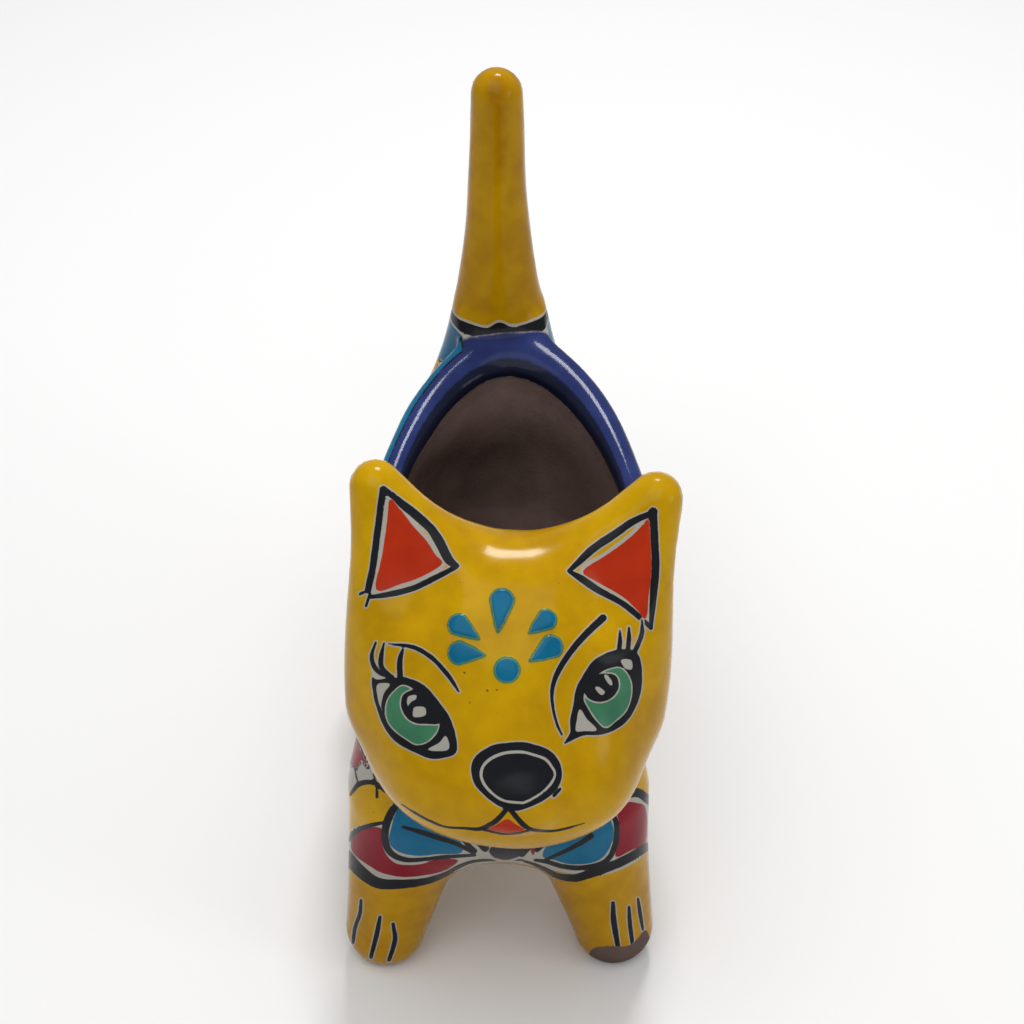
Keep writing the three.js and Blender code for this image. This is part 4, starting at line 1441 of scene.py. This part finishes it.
class GlazedEarthenware(Graph):
    """The fired surface: every glaze over the yellow, with brush wobble, glaze that pools in creases,
    painted shade, and specks.
    """

    brush_height: float = 0.0002
    cloud_scale: float = 38
    brush_scale: float = 160
    shiver_scale: float = 420
    grain_scale: float = 700
    speck_scale: float = 900
    speck_fields: float = 70
    speck_colour: Point = (0.035, 0.022, 0.012)
    gloss: float = 0.1
    # Share of the deep tone that comes from glaze pooling in creases and from painted shade.
    pool_and_shade_share: float = 0.75
    brush_share: float = 0.2
    cloud_share: float = 0.26

    def __init__(self) -> None:
        super().__init__("glazed_earthenware")
        self.cloud = self.ramp(self.noise(self.cloud_scale, 3), 0.3, 0.7)
        self.brush = self.ramp(self.noise(self.brush_scale, 3), 0.3, 0.72)
        self.shiver = self.math("SUBTRACT", self.noise(self.shiver_scale, 2), 0.5)
        self.dress()

    def tone(self, finish: Finish) -> bpy.types.NodeSocket:
        """A glaze's colour, clouded between its two tones, and deeper where the glaze pools in creases
        and where shade is painted in.
        """
        # Glaze that pools in creases, and painted shade, carry the tone towards its deep end.
        pool_and_shade = self.math("MULTIPLY", self.attribute("pooling_and_shade"), self.pool_and_shade_share)
        clouded = self.math("MULTIPLY", self.cloud, self.cloud_share)
        share = self.math("MULTIPLY_ADD", self.brush, self.brush_share, clouded)
        share = self.math("MINIMUM", self.math("ADD", share, pool_and_shade), 1.0)
        return self.mix(share, finish.light, finish.deep)

    def mask(self, glaze: Glaze, finish: Finish) -> bpy.types.NodeSocket:
        """Where a glaze lies, from its distance and a little brush wobble."""
        away = self.math("MULTIPLY_ADD", self.shiver, finish.waver, self.attribute(glaze.value))
        return self.ramp(away, finish.edge, -finish.edge)

    def specks(self, colour: bpy.types.NodeSocket) -> bpy.types.NodeSocket:
        """Fine dark specks and pinholes of the fired glaze."""
        fine = self.ramp(self.noise(self.speck_scale, 1), 0.76, 0.82)
        rare = self.ramp(self.noise(self.speck_fields, 1), 0.5, 0.62)
        share = self.math("MULTIPLY", self.math("MULTIPLY", fine, rare), 0.75)
        return self.mix(share, colour, self.speck_colour)

    def dress(self) -> None:
        """Joins all the glazes in order and feeds the shader."""
        base = FINISHES[None]
        colour = self.specks(self.tone(base))
        roughness: object = base.roughness
        thick: object = 0.0
        for glaze in Glaze:
            finish = FINISHES[glaze]
            mask = self.mask(glaze, finish)
            colour = self.mix(mask, colour, self.tone(finish))
            roughness = self.mix_number(mask, roughness, finish.roughness)
            if glaze is not Glaze.CLAY:
                thick = self.math("MAXIMUM", thick, mask)
            else:
                bare = mask
        grain = self.math("MULTIPLY", self.noise(self.grain_scale, 4), bare)
        strokes = self.math("MULTIPLY_ADD", self.brush, 0.12, thick)
        height = self.math("MULTIPLY_ADD", grain, 2.5, strokes)
        smudge = self.math("MULTIPLY_ADD", self.cloud, 0.05, roughness)
        bump = self.node("ShaderNodeBump", Strength=0.35, Distance=self.brush_height, Height=height)
        self.feed(self.shader.inputs["Base Color"], colour)
        self.feed(self.shader.inputs["Roughness"], smudge)
        self.feed(self.shader.inputs["Normal"], bump.outputs["Normal"])
        self.shader.inputs["IOR"].default_value = 1.5
        self.shader.inputs["Specular IOR Level"].default_value = self.gloss


@dataclass
class FiredCat:
    """The one fired piece: its fine mesh, its brushwork and its finish."""

    form: CatForm = field(default_factory=CatForm)
    view: PhotoView = field(default_factory=PhotoView)
    step: float = 3.0
    coarse: float = 4.5
    fine: float = 1.3
    fine_face: float = 0.6
    rounds: int = 5
    grid_low: Point = (-62, -160, -4)
    grid_high: Point = (62, 140, 250)
    crease_reach: float = 5.0
    # Where the tone is deepened: glaze that pools in creases, painted shade in creases, on the legs,
    # jaw and tail, and a painted shadow on the tail.
    crease_start: float = 0.9
    crease_gain: float = 1.3
    crease_most: float = 0.6
    leg_top: float = 78
    leg_fade: float = 40
    leg_shade_depth: float = 0.7
    jaw_top: float = 165
    jaw_fade: float = 50
    jaw_shade_depth: float = 0.25
    tail_shade_depth: float = 0.6
    tail_fade: float = 6
    # Strength and fade of the painted shadow down the tail's front.
    shadow_streak_depth: float = 0.5
    shadow_streak_fade: float = 5
    tail_shadow_streak: Stroke = Stroke(((496, 86), (497, 120), (498, 165)), (16, 14, 6))

    def shape(self) -> tuple[Array, Array, Painter]:
        """The settled mesh, fine at the paint's edges, and the painter that goes with it."""
        net = SurfaceNet(self.form.whole, self.grid_low, self.grid_high, self.step)
        points, faces = net.build()
        middle = (points.min(0) + points.max(0)) / 2
        painter = Painter(self.form, self.view, -np.array([middle[0], middle[1], 0]))
        refiner = Refiner(self.form, self.coarse, self.fine, self.fine_face)
        for _ in range(self.rounds):
            nearest = painter.paint(points).nearest_edge()
            points, faces = refiner.cut(points, faces, nearest)
            log.info("mesh: %d points, %d triangles", len(points), len(faces))
        return points, faces, painter

    def pooling_and_shade(self, site: Site, normals: Array) -> Array:
        """Deeper tone: glaze that pools in creases, painted shade in creases, legs, jaw and tail, a
        painted shadow on the tail.
        """
        # Creases, found by how near the surface lies ahead: glaze pools there, and shade is painted
        # there too.
        ahead = self.form.whole(site.points + normals * self.crease_reach) / self.crease_reach
        crease = np.clip((self.crease_start - ahead) * self.crease_gain, 0, self.crease_most)
        # Painted shade: darker towards the bottom of the piece up to the legs' top, on the lower head
        # and round the tail.
        legs = np.clip((self.leg_top - site.z) / self.leg_fade, 0, 1) * self.leg_shade_depth
        jaw = np.clip((self.jaw_top - site.z) / self.jaw_fade, 0, 1) * self.jaw_shade_depth
        jaw *= site.on_head < 0
        tail = np.clip(1 - site.on_tail / self.tail_fade, 0, 1) * self.tail_shade_depth
        # A painted shadow down the front of the tail.
        streak = np.clip(0.5 - site.in_photo(self.tail_shadow_streak) / self.shadow_streak_fade, 0, 1)
        streak = np.where(site.y > 0, streak * self.shadow_streak_depth, 0)
        return np.clip(crease + legs + jaw + tail + streak, 0, 1)

    @staticmethod
    def carry(mesh: bpy.types.Mesh, name: str, values: Array) -> None:
        """Stores one value for each of the mesh's points."""
        layer = mesh.attributes.new(name, "FLOAT", "POINT")
        layer.data.foreach_set("value", np.ascontiguousarray(values, np.float32))

    def build(self) -> bpy.types.Object:
        """Makes the piece."""
        points, faces, painter = self.shape()
        canvas = painter.paint(points)
        normals = slope(points, self.form.whole)
        normals /= np.maximum(np.linalg.norm(normals, axis=1, keepdims=True), 1e-9)
        places = (points + normals * canvas.raised[:, None] + painter.shift) * MM
        mesh = bpy.data.meshes.new("cat_planter_fired")
        mesh.from_pydata(places.tolist(), [], faces.tolist())
        mesh.polygons.foreach_set("use_smooth", [True] * len(faces))
        mesh.update()
        for glaze, depth in canvas.depth.items():
            self.carry(mesh, glaze.value, depth)
        # Glaze that pools in creases, and painted shade, both deepen each glaze's tone.
        self.carry(mesh, "pooling_and_shade", self.pooling_and_shade(canvas.site, normals))
        cat = bpy.data.objects.new("cat_planter_fired", mesh)
        bpy.context.collection.objects.link(cat)
        mesh.materials.append(GlazedEarthenware().material)
        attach(cat, "root")
        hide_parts("cat_planter")
        return cat


def main() -> None:
    """Builds the pieces in order and reports each."""
    logging.basicConfig(level=logging.INFO, format="%(name)s: %(message)s", stream=sys.stdout)
    bpy.context.scene.view_settings.view_transform = "Standard"
    view = PhotoView()
    view.make_camera()
    Studio().build()
    cat = FiredCat(view=view).build()
    log.info("built %s", cat.name)


if __name__ == "__main__":
    main()
